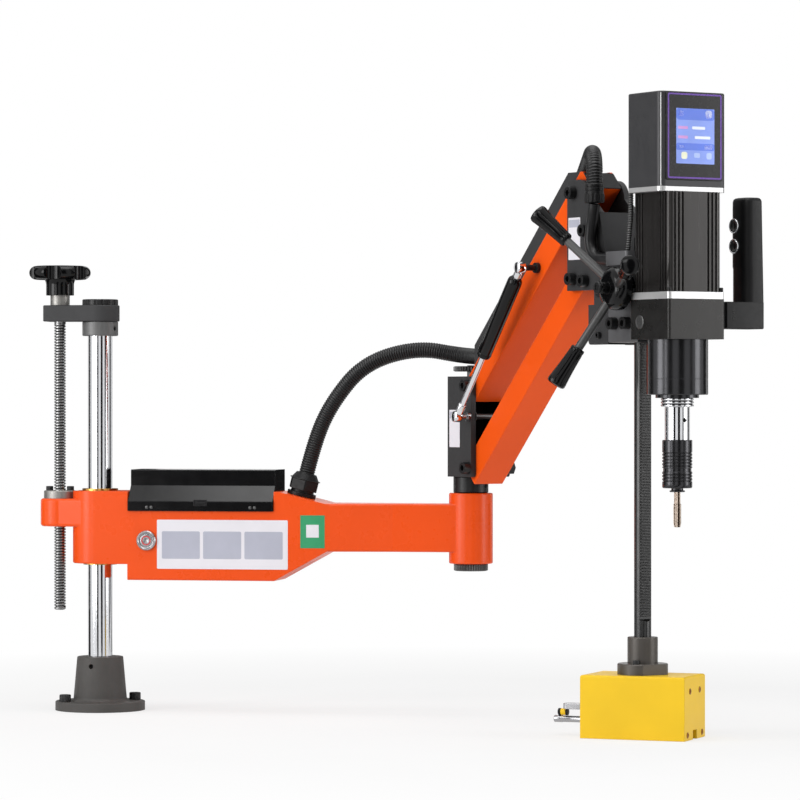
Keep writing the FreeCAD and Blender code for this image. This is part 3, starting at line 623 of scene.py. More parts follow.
def hose_mesh(points, radius, start, end, step, sides, profile, valley=None):
    """Tube round a polyline. profile(distance, angle) is added to the radius.

    Where the profile lies below valley, the faces take the second material.
    """
    mesh = bmesh.new()
    count = max(2, round((end - start) / step))
    distances = [start + (end - start) * k / count for k in range(count + 1)]
    places = at_distances(points, distances)
    side = places[0][1].orthogonal().normalized()
    rows = []
    for distance, (centre, along) in zip(distances, places):
        side = (side - along * side.dot(along)).normalized()
        other = along.cross(side)
        row = []
        for k in range(sides):
            angle = 2 * pi * k / sides
            reach = radius + profile(distance, angle)
            row.append(mesh.verts.new(centre + (side * cos(angle) + other * sin(angle)) * reach))
        rows.append(row)
    skin(mesh, rows)
    if valley is not None:
        for number, face in enumerate(list(mesh.faces)[: count * sides]):
            row, k = divmod(number, sides)
            if profile(distances[row] + step / 2, 2 * pi * (k + 0.5) / sides) < valley:
                face.material_index = 1
    return mesh


def length_of(points):
    return sum((b - a).length for a, b in zip(points, points[1:]))


CONDUIT_RADIUS, RIB_PITCH, RIB_DEPTH = 0.011, 0.0034, 0.0010
LEAD_RADIUS, HOSE_RADIUS, HOSE_VALLEY = 0.0075, 0.0036, -0.0003
LINE_SMOOTH = 60
ARCH_START, TURN_NEAR, TURN_FAR, TURN_SPLIT = 0.340, 0.482, 0.513, 0.514


def ribs(distance, angle):
    """Corrugation of the conduit: broad crests and narrow valleys."""
    wave = 0.5 - 0.5 * cos(2 * pi * distance / RIB_PITCH)
    return -RIB_DEPTH * (1 - wave**0.5)


def smooth_wall(distance, angle):
    return 0.0


def wound(distance, angle):
    """Wound steel strip of the slim hose."""
    turn = (distance / 0.0030 - angle / (2 * pi)) % 1.0
    return -0.0012 * abs(2 * turn - 1) ** 2


def conduit_piece(name, points, start, end, rings_per_rib=6):
    """Stretch of corrugated conduit between two distances along a polyline."""
    mesh = hose_mesh(points, CONDUIT_RADIUS, start, end, RIB_PITCH / rings_per_rib, 28, ribs)
    return make_piece(name, mesh, "conduit", None, METRES, LINE_SMOOTH)


def add_lines():
    """Both conduits, the motor lead and the steel hose, on the routes of their solids."""
    gland = Vector((287, 0, 300)) + Vector((16, 0, 64)).normalized() * 20.3
    trough_mouth = [to_world(in_trough(45, 10.0)), to_world(in_trough(113, 21.0))]
    lower = [gland, (306, 0, 377), (331, 0, 430), (376, 0, 483.5), (450, 0, 505), (514, 0, 493)]
    lower = curve_points("lower_route", lower + trough_mouth, WORLD)
    turn_start = RIB_PITCH * round(distance_near(lower, (TURN_NEAR, 0.0)) / RIB_PITCH)
    split = RIB_PITCH * round(distance_near(lower, (TURN_SPLIT, 0.0)) / RIB_PITCH)
    # The lower conduit is made in three stretches: the arch, a short, finely ringed piece next to the
    # swivel axis, and the bend to the trough.
    arch = conduit_piece("conduit_arch", lower, 0.0, turn_start)
    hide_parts("conduit_lower")
    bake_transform(arch)
    turn = conduit_piece("conduit_turn", lower, turn_start, split, 12)
    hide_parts("conduit_lower")
    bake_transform(turn)
    bend = conduit_piece("conduit_bend", lower, split, length_of(lower))
    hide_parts("conduit_lower")
    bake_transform(bend)

    upper = [in_trough(115, 21.3), in_trough(215, 22.5, -5.0)]
    upper += [in_trough(295, 24.0, -4.5), in_trough(345, 24.0, -4.0)]
    # The hoop stands in the upright plane from the end of the trough to the connector.
    for along, height in ((17.3, 749.7), (39.9, 753.9), (60.2, 745.3), (71.2, 728.6), (71.2, 711)):
        upper.append((300 + 0.885 * along, -4.5 - 0.49 * along, height))
    points = curve_points("upper_route", upper, ARM_2)
    hoop = conduit_piece("conduit_hoop", points, 0.0, length_of(points))
    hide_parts("conduit_upper")
    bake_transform(hoop)

    lead = [(362.6, -39.5, 685.2), (356.5, -40, 657), (352.5, -40, 634)]
    lead += [(365, -40, 615.5), (386, -39.6, 613), (400.9, -37.5, 613.5)]
    points = curve_points("lead_route", lead, ARM_2)
    mesh = hose_mesh(points, LEAD_RADIUS, 0.0, length_of(points), 0.002, 32, smooth_wall)
    lead = make_piece("motor_lead_skin", mesh, "rubber", "head", METRES, LINE_SMOOTH)
    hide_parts("motor_lead")

    hose = [(456, -46.5, 694.3), (456.4, -46.5, 668), (452, -45.6, 644), (447, -44.5, 622.9)]
    points = curve_points("hose_route", hose, ARM_2)
    mesh = hose_mesh(points, HOSE_RADIUS, 0.0, length_of(points), 0.0003, 24, wound, HOSE_VALLEY)
    # The valleys between the turns take the dark finish: painted shade.
    finish = ["hose_steel", "root_shade"]
    hose = make_piece("motor_hose_skin", mesh, finish, "head", METRES, LINE_SMOOTH)
    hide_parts("motor_hose")


def in_trough(along, offset=24.0, y=-6.0):
    """Point in the cable trough at a distance from the elbow pivot, frame of arm 2."""
    x = ELBOW_PIVOT[0] + along * cos(ARM_2_RISE) - offset * sin(ARM_2_RISE)
    return (x, y, ELBOW_PIVOT[2] + along * sin(ARM_2_RISE) + offset * cos(ARM_2_RISE))


def to_world(point):
    """Point of the arm 2 frame in the frame of the column, both in millimetres."""
    return (ARM_2 @ Vector(point)) / MM


def distance_near(points, spot):
    """Distance along a polyline at which it passes nearest to spot, seen from above."""
    travelled, best, found = 0.0, 1e9, 0.0
    for a, b in zip(points, points[1:]):
        gap = (a.xy - Vector(spot)).length
        if gap < best:
            best, found = gap, travelled
        travelled += (b - a).length
    return found


# ---- column ----


def lead_screw():
    """Trapezoidal thread of 4 mm pitch with a chamfered lower end and a plain upper shank."""
    mesh = bmesh.new()
    sides, bottom, top = 40, 141.0, 541.0
    profile = ((6.1, 0.0), (6.1, 0.9), (8.1, 1.5), (8.1, 3.4))
    steps = round((top - bottom) / SCREW_PITCH) * sides
    rows = []
    for k in range(steps + 1):
        angle = 2 * pi * k / sides
        lift = bottom + SCREW_PITCH * k / sides
        rows.append([mesh.verts.new(polar(r, angle, lift + dz)) for r, dz in profile])
    for k in range(steps):
        for j in range(3):
            face = mesh.faces.new((rows[k][j], rows[k + 1][j], rows[k + 1][j + 1], rows[k][j + 1]))
            face.material_index = 1 if j == 0 else 0
        if k + 1 + sides <= steps:
            above, beyond = rows[k + sides][0], rows[k + 1 + sides][0]
            mesh.faces.new((rows[k][3], rows[k + 1][3], beyond, above))
    loft(mesh, [(6.4, 139), (8.0, 140.6), (8.0, 142.5), (6.0, 143.5), (6.0, 146)], 40)
    loft(mesh, [(6.0, 536), (8.0, 539), (8.0, 597)], 40)
    place = WORLD @ Matrix.Translation((SCREW_X, 0, 0))
    # The roots of the thread take the dark finish: painted shade.
    finish = ["steel", "root_shade"]
    screw = make_piece("lead_screw_thread", mesh, finish, "height_screw", place, 25)
    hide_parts("lead_screw")


def column_fasteners():
    """Screws of the base flange, grub screws of flange and collar, screws of the nut flange.

    The fourth hole of the flange, at the front right, has no screw.
    """
    mesh = bmesh.new()
    for k in range(3):
        spot = polar(FLANGE_SCREW_REACH, radians(FLANGE_SCREW_HEADING + 90 * k))
        cap_screw(mesh, spot + Vector((0, 0, FLANGE_TOP)), UP, 16, 10)
        loft(mesh, [(5.3, 2), (5.3, 13)], 24, Matrix.Translation(spot))
    for z, heading, reach, radius in ((63, -98, 27, 4.0), (532, -20, 20.5, 3.1)):
        way = polar(1, radians(heading))
        grub_screw(mesh, Vector((0, 0, z)) + way * reach, way, radius)
    make_piece("column_screws", mesh, "black_oxide", "column")
    mesh = bmesh.new()
    for side in (-15, 15):
        cap_screw(mesh, (SCREW_X + side, 0, 306), UP, 10, 6)
    make_piece("nut_screws", mesh, "black_oxide", "arm_1")


def grub_screw(mesh, centre, direction, radius):
    """Set screw seen end on, with its hexagon recess."""
    recess = hexagon(radius)
    rings = [(radius, -2), (radius, 0), (recess, 0), (recess, -1.6), (0.1, -1.8)]
    loft(mesh, rings, 48, axis_frame(centre, direction))


# ---- arm 1 ----


def arm_1_details():
    """Blank plates, button ring, lid latch and the small screws of the tool case."""
    mesh = bmesh.new()
    place = front_face(183.5, ARM_FRONT_Y, 233)
    plate(mesh, place, 185, 68, 0.4, 1.5, 0)
    for x in (-58.5, 0, 58.5):
        plate(mesh, place, 54, 38, 0.1, 2.0, 1, (x, -1), 0.35)
    make_piece("arm_plate", mesh, ["white_vinyl", "pale_panel"], "arm_1")

    mesh = bmesh.new()
    bent_plate(mesh, 293.6, 327.5, 228.8, 274.0, 0.35, 0)
    bent_plate(mesh, 302.0, 319.5, 243.5, 261.0, 0.55, 1)
    make_piece("green_plate", mesh, ["green_vinyl", "white_vinyl"], "arm_1")

    mesh = bmesh.new()
    place = axis_frame((BUTTON_X, -40.2, BUTTON_Z), FRONT)
    rings = [(8.9, -0.3), (8.9, 0.1), (8.5, 0.3), (6.9, 0.3), (6.6, -0.3)]
    loft(mesh, rings, 64, place, 0, closed=False)
    loft(mesh, [(6.7, -0.3), (6.7, 0.2), (5.0, 0.2), (5.0, -0.3)], 64, place, 1, closed=False)
    loft(mesh, [(4.9, -0.3), (4.9, 0.4), (4.4, 0.7), (1.0, 0.4)], 64, place, 0)
    make_piece("button_face", mesh, ["satin_steel", "red_ring"], "power_switch")
    mesh = bmesh.new()
    place = axis_frame((BUTTON_X, CASE_FRONT_Y, BUTTON_Z), FRONT)
    rings = [(13.7, -2.5), (13.7, 0.4), (12.6, 1.6), (11.3, 1.6), (10.4, 0.6), (9.5, 0.5), (9.3, -1.5)]
    loft(mesh, rings, 72, place, closed=False)
    make_piece("bezel_rim", mesh, "satin_steel", "arm_1")

    mesh = bmesh.new()
    place = front_face(153, CASE_FRONT_Y, 290.5)
    plate(mesh, place, 19, 9, 1.2, 1.0, 0)
    plate(mesh, place, 12, 3.2, 1.0, 0.8, 1, (0, -0.8), 1.0)
    make_piece("lid_latch", mesh, ["panel_black", "moulded_black"], "arm_1")

    mesh = bmesh.new()
    for x in (77, 83.5, 223.5, 230):
        place = axis_frame((x, CASE_FRONT_Y, 284), FRONT)
        loft(mesh, [(2.2, 0), (2.2, 0.5), (1.5, 1.0), (0.5, 1.1)], 24, place)
    make_piece("case_rivets", mesh, "rod_grey", "arm_1")


def bent_plate(mesh, x0, x1, z0, z1, lift, material):
    """Blank plate that follows the front of arm 1 round its bend."""
    columns = []
    for k in range(13):
        x = x0 + (x1 - x0) * k / 12
        y = ARM_FRONT_Y + max(0.0, x - ARM_BEND_X) * ARM_TAPER
        columns.append([mesh.verts.new((x, y - out, z)) for out in (0, lift) for z in (z0, z1)])
    strip(mesh, columns, material)


# ---- elbow and arm 2 ----


def knurled_ring(mesh, inner, radius, low, high, teeth, depth):
    """Ring nut with rounded teeth all round its rim."""
    rim = knurl(radius, teeth, depth)
    rings = [(inner, low), (radius - depth - 0.4, low), (rim, low + 0.8), (rim, high - 0.8)]
    rings += [(radius - depth - 0.4, high), (inner, high), (inner, low)]
    loft(mesh, rings, teeth * 8, closed=False)


def elbow_details():
    """Toothed nuts, set screw of the swivel collar, cross pin and blank plate of the elbow."""
    mesh = bmesh.new()
    knurled_ring(mesh, 13.2, 23.5, 198, 207.8, 40, 1.7)
    knurled_ring(mesh, 5.2, 24.0, 471.5, 478.9, 36, 2.0)
    loft(mesh, [(5.2, 464.7), (5.2, 479.6), (4.4, 480.2), (0.4, 480.2)], 32)
    nuts = make_piece("knurled_nuts", mesh, "rod_grey", "elbow", ARM_2)
    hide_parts("shaft_nuts")
    mesh = bmesh.new()
    way = polar(1, radians(-22.2) - ARM_2_HEADING)
    grub_screw(mesh, Vector((0, 0, 315)) + way * 23.7, way, 3.6)
    make_piece("collar_grub", mesh, "black_lacquer", "elbow", ARM_2)
    mesh = bmesh.new()
    rings = [(6.5, 0), (6.5, 1.2), (4.0, 1.6), (4.0, 45.2), (6.5, 45.6), (6.5, 46.8)]
    loft(mesh, rings, 40, axis_frame((LOWER_BALL[0], -23.4, LOWER_BALL[2]), BACK))
    make_piece("cross_pin", mesh, "rod_grey", "elbow", ARM_2)
    blank_plate("elbow_plate", "elbow", (8.3, CHEEK_Y, 393.5), 26.7, 51)


def gas_spring():
    """Rod, barrel and both ball sockets of the gas spring."""
    rise = radians(SPRING_RISE)
    along = Vector((cos(rise), 0, sin(rise)))
    start = Vector(LOWER_BALL)
    line = axis_frame(start, along)
    mesh = bmesh.new()
    rings = [(2, 6.5), (5.0, 6.5), (5.6, 7.2), (5.6, 20), (5.0, 21), (4.0, 21.4), (4.0, 160)]
    loft(mesh, rings, 48, line)
    ball_cup(mesh, start)
    rod = make_piece("spring_rod_skin", mesh, "chrome", "spring_rod", ARM_2)
    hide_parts("gas_spring_rod")
    mesh = bmesh.new()
    rings = [(4.2, 104), (7.4, 104), (9.2, 105), (10, 107.5), (10, 111), (9.7, 111.6), (10, 112.2)]
    rings += [(10, 229), (9.4, 232.5), (7.8, 234.6), (5.5, 235)]
    loft(mesh, rings, 64, line)
    barrel = make_piece("spring_barrel_skin", mesh, "phenolic", "spring_barrel", ARM_2)
    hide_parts("gas_spring_cylinder")
    mesh = bmesh.new()
    loft(mesh, [(4.2, 234.8), (4.2, 238), (5.6, 238.5), (5.6, 246.5), (2, 246.6)], 40, line)
    ball_cup(mesh, start + along * SPRING_LENGTH)
    make_piece("spring_upper_socket", mesh, "chrome", "spring_barrel", ARM_2)


def ball_cup(mesh, centre):
    """Cup that snaps over a ball stud, open towards arm 2."""
    rings = [(1.5, -7.4), (5.6, -7.4), (7.4, -6.2), (7.7, -4.5), (7.7, 3.0), (7.2, 4.2)]
    loft(mesh, rings + [(5.4, 4.4), (5.4, 0)], 48, axis_frame(centre, BACK))


def link_end():
    """Dark plate on the head end of the upper member: painted shade, where the end lies in shadow."""
    rise = Matrix.Rotation(-ARM_2_RISE, 4, "Y")
    place = Matrix.Translation(ELBOW_PIVOT) @ rise @ end_face(386, 0)
    mesh = bmesh.new()
    plate(mesh, place, 46.6, 29, 1.4, 1.5, 0, (0, -3.3))
    make_piece("link_end_shade_plate", mesh, "moulded_black", "upper_member", ARM_2)


def blank_plate(name, body, centre, width, height):
    """Bare plate with a grey head band on a cheek of arm 2, on the operator's side."""
    mesh = bmesh.new()
    place = front_face(*centre)
    plate(mesh, place, width, height, 0.4, 1.0, 0)
    plate(mesh, place, width - 2.4, height * 0.18, 0.1, 0.6, 1, (0, height * 0.36), 0.35)
    make_piece(name, mesh, ["white_vinyl", "pale_panel"], body, ARM_2)


# ---- head ----


def head_details():
    """Screws, plug, nose rings, a bright strip as painted highlight on the box corner, and blank plate of
    the head.
    """
    mesh = bmesh.new()
    cap_screw(mesh, (363, CHEEK_Y, 516), FRONT, 8.5, 5)
    for x in (452.2, 531.8):
        for y in (-39.8, 39.8):
            place = Matrix.Translation((x, y, 568.5))
            loft(mesh, [(2.4, 0), (2.4, 5.2), (1.9, 5.7), (0.6, 5.7)], 24, place)
    make_piece("head_screws", mesh, "black_oxide", "head", ARM_2)
    mesh = bmesh.new()
    rings = [(8.8, 0), (8.8, 0.5), (8.2, 0.9), (6.8, 0.9), (6.6, 0.4), (2.2, 0.4), (2.0, 0.1)]
    loft(mesh, rings, 48, axis_frame((471, -HEAD_SIDE_Y, 531), FRONT))
    make_piece("gearbox_plug", mesh, "rod_grey", "head", ARM_2)
    mesh = bmesh.new()
    for low, high in ((424.3, 426.8), (428.2, 430.7), (432.1, 434.6)):
        edge = (high - low) * 0.25
        rings = [(19.0, low), (20.3, low), (20.8, low + edge), (20.8, high - edge), (20.3, high)]
        loft(mesh, rings + [(19.0, high), (19.0, low)], 72, closed=False)
    make_piece("nose_rings", mesh, "chrome", "head", SPINDLE)
    mesh = bmesh.new()
    corner_highlight_strip(mesh, (520, -HEAD_SIDE_Y), 8.0, 701.0, 818.0)
    make_piece("corner_highlight_strip", mesh, "milled_alu", "head", ARM_2)
    mesh = bmesh.new()
    grub_screw(mesh, Vector((15.2, 0, 407)), RIGHT, 2.9)
    make_piece("spindle_grub", mesh, "black_lacquer", "spindle_unit", SPINDLE)
    blank_plate("head_plate", "head", (304.3, CHEEK_Y, 642.5), 27.5, 55)


def connector():
    """Cable gland nut with flutes on the end of the upper conduit."""
    mesh = bmesh.new()
    grip = knurl(13.0, 14, 1.1)
    rings = [(8.2, 686.6), (12.0, 686.6), (grip, 687.4), (grip, 697.6), (12.2, 698.4), (12.2, 701)]
    rings += [(11.6, 701.3), (11.6, 702.3), (12.2, 702.6), (12.2, 706), (11.6, 706.3), (11.6, 707.3)]
    rings += [(12.2, 707.6), (12.2, 710.2), (11.4, 711), (9.5, 711)]
    loft(mesh, rings, 112, Matrix.Translation((363, -39.5, 0)))
    gland = make_piece("conduit_gland", mesh, "moulded_black", "head", ARM_2)
    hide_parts("conduit_connector")


def corner_highlight_strip(mesh, centre, radius, low, high):
    """Bright strip down the rounded front corner of the control box: a painted highlight, where the corner
    reflects the lamps.
    """
    columns = []
    for k in range(7):
        angle = radians(-50 + 9 * k / 6)
        outer = radius + 0.35 * sin(pi * k / 6)
        spots = [Vector((*centre, z)) + polar(r, angle) for r in (radius - 0.3, outer) for z in (low, high)]
        columns.append([mesh.verts.new(spot) for spot in spots])
    strip(mesh, columns)


def chuck():
    """Quick-change chuck: grooved body, skirt and sliding sleeve."""
    mesh = bmesh.new()
    rings = [(5, 316), (9.2, 316), (10, 317), (10, 317.8), (7.6, 318.4), (7.6, 320.8), (14.8, 321)]
    rings += [(14.8, 340.9), (17.9, 340.9), (17.9, 346.4), (18.5, 346.4), (19, 346.9)]
    rings += grooves(348.2, 4.1, 5, 19.0) + [(19, 381.2), (18.2, 382), (5, 382)]
    loft(mesh, rings, 96)
    body = make_piece("chuck_body_skin", mesh, "chuck_black", "spindle_unit", SPINDLE)
    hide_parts("chuck_body")
    mesh = bmesh.new()
    rings = [(15.2, 321), (17.8, 321), (18.6, 321.6), (19, 322.6), (19, 326)]
    rings += grooves(329.2, 4.1, 3, 19.0) + [(19, 341.4), (18.6, 342), (18.1, 342)]
    rings += [(18.1, 336.5), (15.2, 336.5), (15.2, 321)]
    loft(mesh, rings, 96, closed=False)
    sleeve = make_piece("chuck_sleeve_skin", mesh, "chuck_black", "sleeve", SPINDLE)
    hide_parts("chuck_sleeve")


def grooves(start, pitch, count, radius):
    """Rings of a lathe profile with evenly spaced round grooves."""
    rings = []
    for k in range(count):
        z = start + pitch * k
        rings += [(radius, z), (radius - 1.1, z + 0.5), (radius - 1.1, z + 1.2), (radius, z + 1.7)]
    return rings


def tap():
    """Machine tap with four deep flutes, a slimmer shank and a threaded end with a short lead."""
    mesh = bmesh.new()

    def section(height):
        threaded = height < 301
        lead = min(1.0, 0.78 + (height - 271.5) / 22)

        def reach(angle):
            turn = (height / 1.5 - angle / (2 * pi)) % 1
            ridge = 0.5 * abs(2 * turn - 1) if threaded else 0
            depth = 3.0 if threaded else 1.9
            return (5.2 - ridge if threaded else 4.1) * lead - depth * flute(angle) * lead

        return reach

    def flute(angle):
        return (0.5 + 0.5 * cos(4 * angle + 0.4)) ** 2.5

    heights = [271.5 + 0.375 * k for k in range(126)]
    loft(mesh, [(section(z), z) for z in heights], 72)
    # The deep part of each flute takes a dark finish: painted shade.
    for face in mesh.faces:
        middle = face.calc_center_median()
        if flute(atan2(middle.y, middle.x)) > 0.3 and abs(face.normal.z) < 0.9:
            face.material_index = 1
    finish = ["tap_steel", "flute_shade"]
    piece = make_piece("fluted_tap", mesh, finish, "spindle_unit", SPINDLE, 30)
    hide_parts("tap")


def display():
    """Front panel with a purple frame line and a lit screen, with plain fields for its wording."""
    front = end_face(HEAD_FRONT_X, 764)
    mesh = bmesh.new()
    plate(mesh, front, 87, 111, 1.6, 2.5)
    panel = make_piece("front_panel", mesh, "panel_black", "head", ARM_2)
    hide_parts("display_panel")
    mesh = bmesh.new()
    rim_line(mesh, front @ Matrix.Translation((0.5, 0, 0)), 82.5, 107, 2.0, 0.15, 2.5, 0, 1.55)
    make_piece("frame_line", mesh, "purple_line", "head", ARM_2)
    mesh = bmesh.new()
    place = front @ Matrix.Translation((1.3, 0, 1.55))
    plate(mesh, place, 58.6, 69.5, 0.25, 1.0, 0)
    bars = (
        (58.6, 14.5, 0, 27.4, 1), (58.6, 9, 0, -13.4, 1),
        (8, 7, -21.5, 28, 2), (10, 10, 20.5, 28, 2), (15, 3.6, -19, 10.5, 3), (20, 3.6, 5, 10.5, 2),
        (15, 3.6, -19, -1.5, 3), (24, 3.6, 11, -1.5, 2), (9, 3.2, -20, -13.4, 2), (12, 5, 20, -13.4, 2),
        (9, 9, -17, -24.5, 4), (9, 6, 2.5, -24, 5), (8, 8, 21, -24.5, 5),
    )
    for width, height, x, y, material in bars:
        plate(mesh, place, width, height, 0.08, min(width, height) * 0.3, material, (x, y), 0.22)
    make_piece("screen", mesh, list(SCREEN_COLOURS), "head", ARM_2)


def handle():
    """Grip with a rounded inner side, its bracket on the gearbox and two push buttons."""
    mesh = bmesh.new()
    corners = ((510, 64), (510, 124), (474, 124), (474, 64))
    slab(mesh, corners, (1, 4, 4, 1), ((523, 1.0), (524, 0), (556.9, 0), (557.5, 0.6)))
    levels = [(557, 94.0, 0), (600, 94.0, 0), (603, 93.2, 0), (676, 93.2, 0), (686, 93.4, 0)]
    levels += [(688.8, 93.6, 0.8), (690.3, 94.0, 2.2), (691, 94.6, 4.4)]
    rows = []
    for z, inner, shrink in levels:
        outer = 123.7 - 2.7 * (z - 557) / 119
        section = ((510, inner), (510, outer), (474, outer), (474, inner))
        rows.append((z, rounded_section(section, (12, 4, 4, 12), shrink)))
    skin_levels(mesh, rows)
    stem = make_piece("grip_skin", mesh, "moulded_black", "head", ARM_2)
    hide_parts("grip")
    mesh = bmesh.new()
    corners = ((507, 43), (507, 66), (477, 66), (477, 43))
    slab(mesh, corners, (1, 1, 1, 1), ((524.5, 0.5), (525, 0), (556, 0), (556.5, 0.5)))
    make_piece("grip_bracket", mesh, "bracket_grey", "head", ARM_2)
    mesh = bmesh.new()
    for z in (545, 537):
        grub_screw(mesh, Vector((510.1, 75, z)), RIGHT, 2.4)
    make_piece("grip_screws", mesh, "phenolic", "head", ARM_2)
    rims = bmesh.new()
    for name, body, z in (("upper", "upper_button", 655), ("lower", "lower_button", 629)):
        place = axis_frame((GRIP_BUTTON_X, GRIP_INNER_Y, z), FRONT)
        rings = [(9.6, -1.5), (9.6, 1.2), (9.2, 2.0), (8.4, 2.2), (7.9, 1.8), (7.7, 1.0), (7.7, -8)]
        loft(rims, rings, 64, place, closed=False)
        mesh = bmesh.new()
        rings = [(7.4, -10), (7.4, 0.6), (7.0, 1.2), (5.9, 1.2), (5.2, 0.5), (3.2, -0.1), (0.5, -0.3)]
        loft(mesh, rings, 64, place)
        button = make_piece(f"{name}_button_skin", mesh, "rod_grey", body, ARM_2)
        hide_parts(f"grip_button_{name}")
    make_piece("button_rims", rims, "chrome", "head", ARM_2)


def rounded_section(corners, radii, shrink=0.0, steps=8):
    """Closed outline of a rectangle with a radius of its own at each corner."""
    middle = sum((Vector(c) for c in corners), Vector((0, 0))) / 4
    points = []
    for corner, radius in zip(corners, radii):
        sx = copysign(1, corner[0] - middle.x)
        sy = copysign(1, corner[1] - middle.y)
        reach = max(0.2, radius - shrink * 0.5)
        centre = Vector((corner[0] - sx * (shrink + reach), corner[1] - sy * (shrink + reach)))
        arc = []
        for step in range(steps + 1):
            angle = pi / 2 * step / steps
            arc.append((centre.x + sx * reach * cos(angle), centre.y + sy * reach * sin(angle)))
        points += arc if sx * sy > 0 else arc[::-1]
    return points


def skin_levels(mesh, rows):
    """Skins level outlines, given as (height, points), and closes both ends."""
    skin(mesh, [[mesh.verts.new((x, y, z)) for x, y in points] for z, points in rows])


def slab(mesh, corners, radii, levels):
    """Block with rounded standing edges and broken top and bottom edges."""
    skin_levels(mesh, [(z, rounded_section(corners, radii, shrink)) for z, shrink in levels])


def capstan_details():
    """Tapered glossy knobs and the socket screw in the middle of the hub."""
    mesh = bmesh.new()
    profile = [(5.6, 91), (8.4, 91), (9.2, 92), (9.4, 94.5), (9.0, 96.2), (9.3, 98), (9.9, 110)]
    profile += [(10.8, 124), (12.0, 137), (12.5, 141), (12.4, 143.6), (11.4, 145.6), (9.0, 146.7)]
    profile += [(5.0, 147.2), (1, 147.3)]
    for angle in (11, 131, 251):
        heading = radians(angle)
        way = Vector((130 * cos(heading), -67, 130 * sin(heading)))
        loft(mesh, profile, 64, axis_frame((CAPSTAN_X, -50, CAPSTAN_Z), way))
    knobs = make_piece("knob_skins", mesh, "phenolic", "capstan", ARM_2)
    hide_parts("capstan_knobs")
    mesh = bmesh.new()
    cap_screw(mesh, (CAPSTAN_X, -79, CAPSTAN_Z), FRONT, 15.6, 3.0)
    make_piece("hub_screw", mesh, "black_oxide", "capstan", ARM_2)


# ---- magnet foot ----


def foot_details():
    """End screws of the magnet, screws of the post flange, lever and pointer of the switch."""
    place = ARM_2 @ Matrix.Translation((POST_X, 0, 0)) @ Matrix.Rotation(MAGNET_HEADING, 4, "Z")
    mesh = bmesh.new()
    for y, z in ((-20, 62), (20, 62), (-30, 7), (30, 7)):
        rings = [(4.0, -1.5), (4.0, 0.4), (3.4, 0.8), (2.5, 0.8), (2.2, 0.1), (0.2, 0.0)]
        loft(mesh, rings, 32, axis_frame((MAGNET_END_X, y, z), RIGHT))
    make_piece("magnet_screws", mesh, "screw_brass", "post", place)
    mesh = bmesh.new()
    corners = ((-70.3, -9.5), (-70.3, 9.5), (-106, 9.5), (-106, -9.5))
    slab(mesh, corners, (0.8, 0.8, 5, 5), ((33.8, 0.5), (34.3, 0), (40.7, 0), (41.2, 0.5)))
    make_piece("switch_guard", mesh, "satin_steel", "post", place)
    mesh = bmesh.new()
    axis = axis_frame((-101, 0, 29.7), (-1, 0, 0))
    loft(mesh, [(3.5, -0.1), (4.6, 0.2), (4.6, 2.8), (3.8, 3.1)], 40, axis, 1)
    loft(mesh, [(3.8, 3.0), (4.3, 3.4), (4.3, 9.4), (3.8, 9.8)], 40, axis, 0)
    loft(mesh, [(3.8, 9.7), (4.6, 10.0), (4.6, 13.0), (3.6, 13.6), (1.0, 13.7)], 40, axis, 1)
    make_piece("switch_pointer", mesh, ["yellow", "moulded_black"], "post", place)
    mesh = bmesh.new()
    rings = [(4.2, -25), (4.2, 0), (8.0, 0.2), (8.0, 5.6), (4.5, 6.0), (4.5, 14), (4.2, 14.6), (4.2, 38)]
    rings += [(4.6, 38.6), (4.6, 48.5), (4.0, 49.4), (1.0, 49.6)]
    loft(mesh, rings, 48, axis_frame((-70.4, 0, 20.6), (-1, 0, 0)))
    lever = make_piece("switch_lever", mesh, "satin_steel", "magnet_switch", place)
    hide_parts("magnet_lever")
    mesh = bmesh.new()
    for x, y in ((14.5, -20.4), (-14.5, 20.4)):
        cap_screw(mesh, (POST_X + x, y, 95), UP, 8.5, 5)
    make_piece("post_screws", mesh, "black_oxide", "post", ARM_2)


# ---- stage ----


def add_floor():
    """Pale floor that fades into the white background and keeps the shadow."""
    mesh = bmesh.new()
    bmesh.ops.create_grid(mesh, x_segments=12, y_segments=12, size=9.0)
    data = mesh_data("floor", mesh)
    floor = add_object("floor", data)
    floor.location = (0.5, 0, -0.0004)
    material = bpy.data.materials.new("pale_floor")
    nodes = Nodes(material)
    tree = nodes.tree
    output = tree.nodes["Material Output"]
    tree.nodes.remove(nodes.shader)
    grain = nodes.ranged(nodes.noise(3.0), 0.0, 1.0)
    tone = nodes.mix(grain, (0.80, 0.80, 0.80, 1), (0.84, 0.84, 0.84, 1))
    diffuse = nodes.add("ShaderNodeBsdfDiffuse", Color=tone)
    glow = nodes.add("ShaderNodeEmission", Strength=1.0)
    glow.inputs["Color"].default_value = (1, 1, 1, 1)
    distance = nodes.add("ShaderNodeVectorMath", {"operation": "LENGTH"})
    nodes.feed(distance.inputs[0], nodes.place)
    fade = nodes.ranged(distance.outputs["Value"], 0.7, 1.0, 0.7, 1.5)
    both = nodes.add("ShaderNodeMixShader", Fac=nodes.maths("MULTIPLY", seen_rays(nodes), fade))
    nodes.feed(both.inputs[1], diffuse.outputs[0])
    nodes.feed(both.inputs[2], glow.outputs[0])
    nodes.feed(output.inputs["Surface"], both.outputs[0])
    data.materials.append(material)


def seen_rays(nodes):
    """1 for camera, glossy and transmission rays, 0 for the rest."""
    path = nodes.add("ShaderNodeLightPath")
    total = path.outputs["Is Camera Ray"]
    for name in ("Is Glossy Ray", "Is Transmission Ray"):
        total = nodes.maths("MAXIMUM", total, path.outputs[name])
    return total


WORLD_LEVEL = 0.36
MIDDLE = (0.45, -0.1, 0.45)
CAMERA_HEADING = -79.6


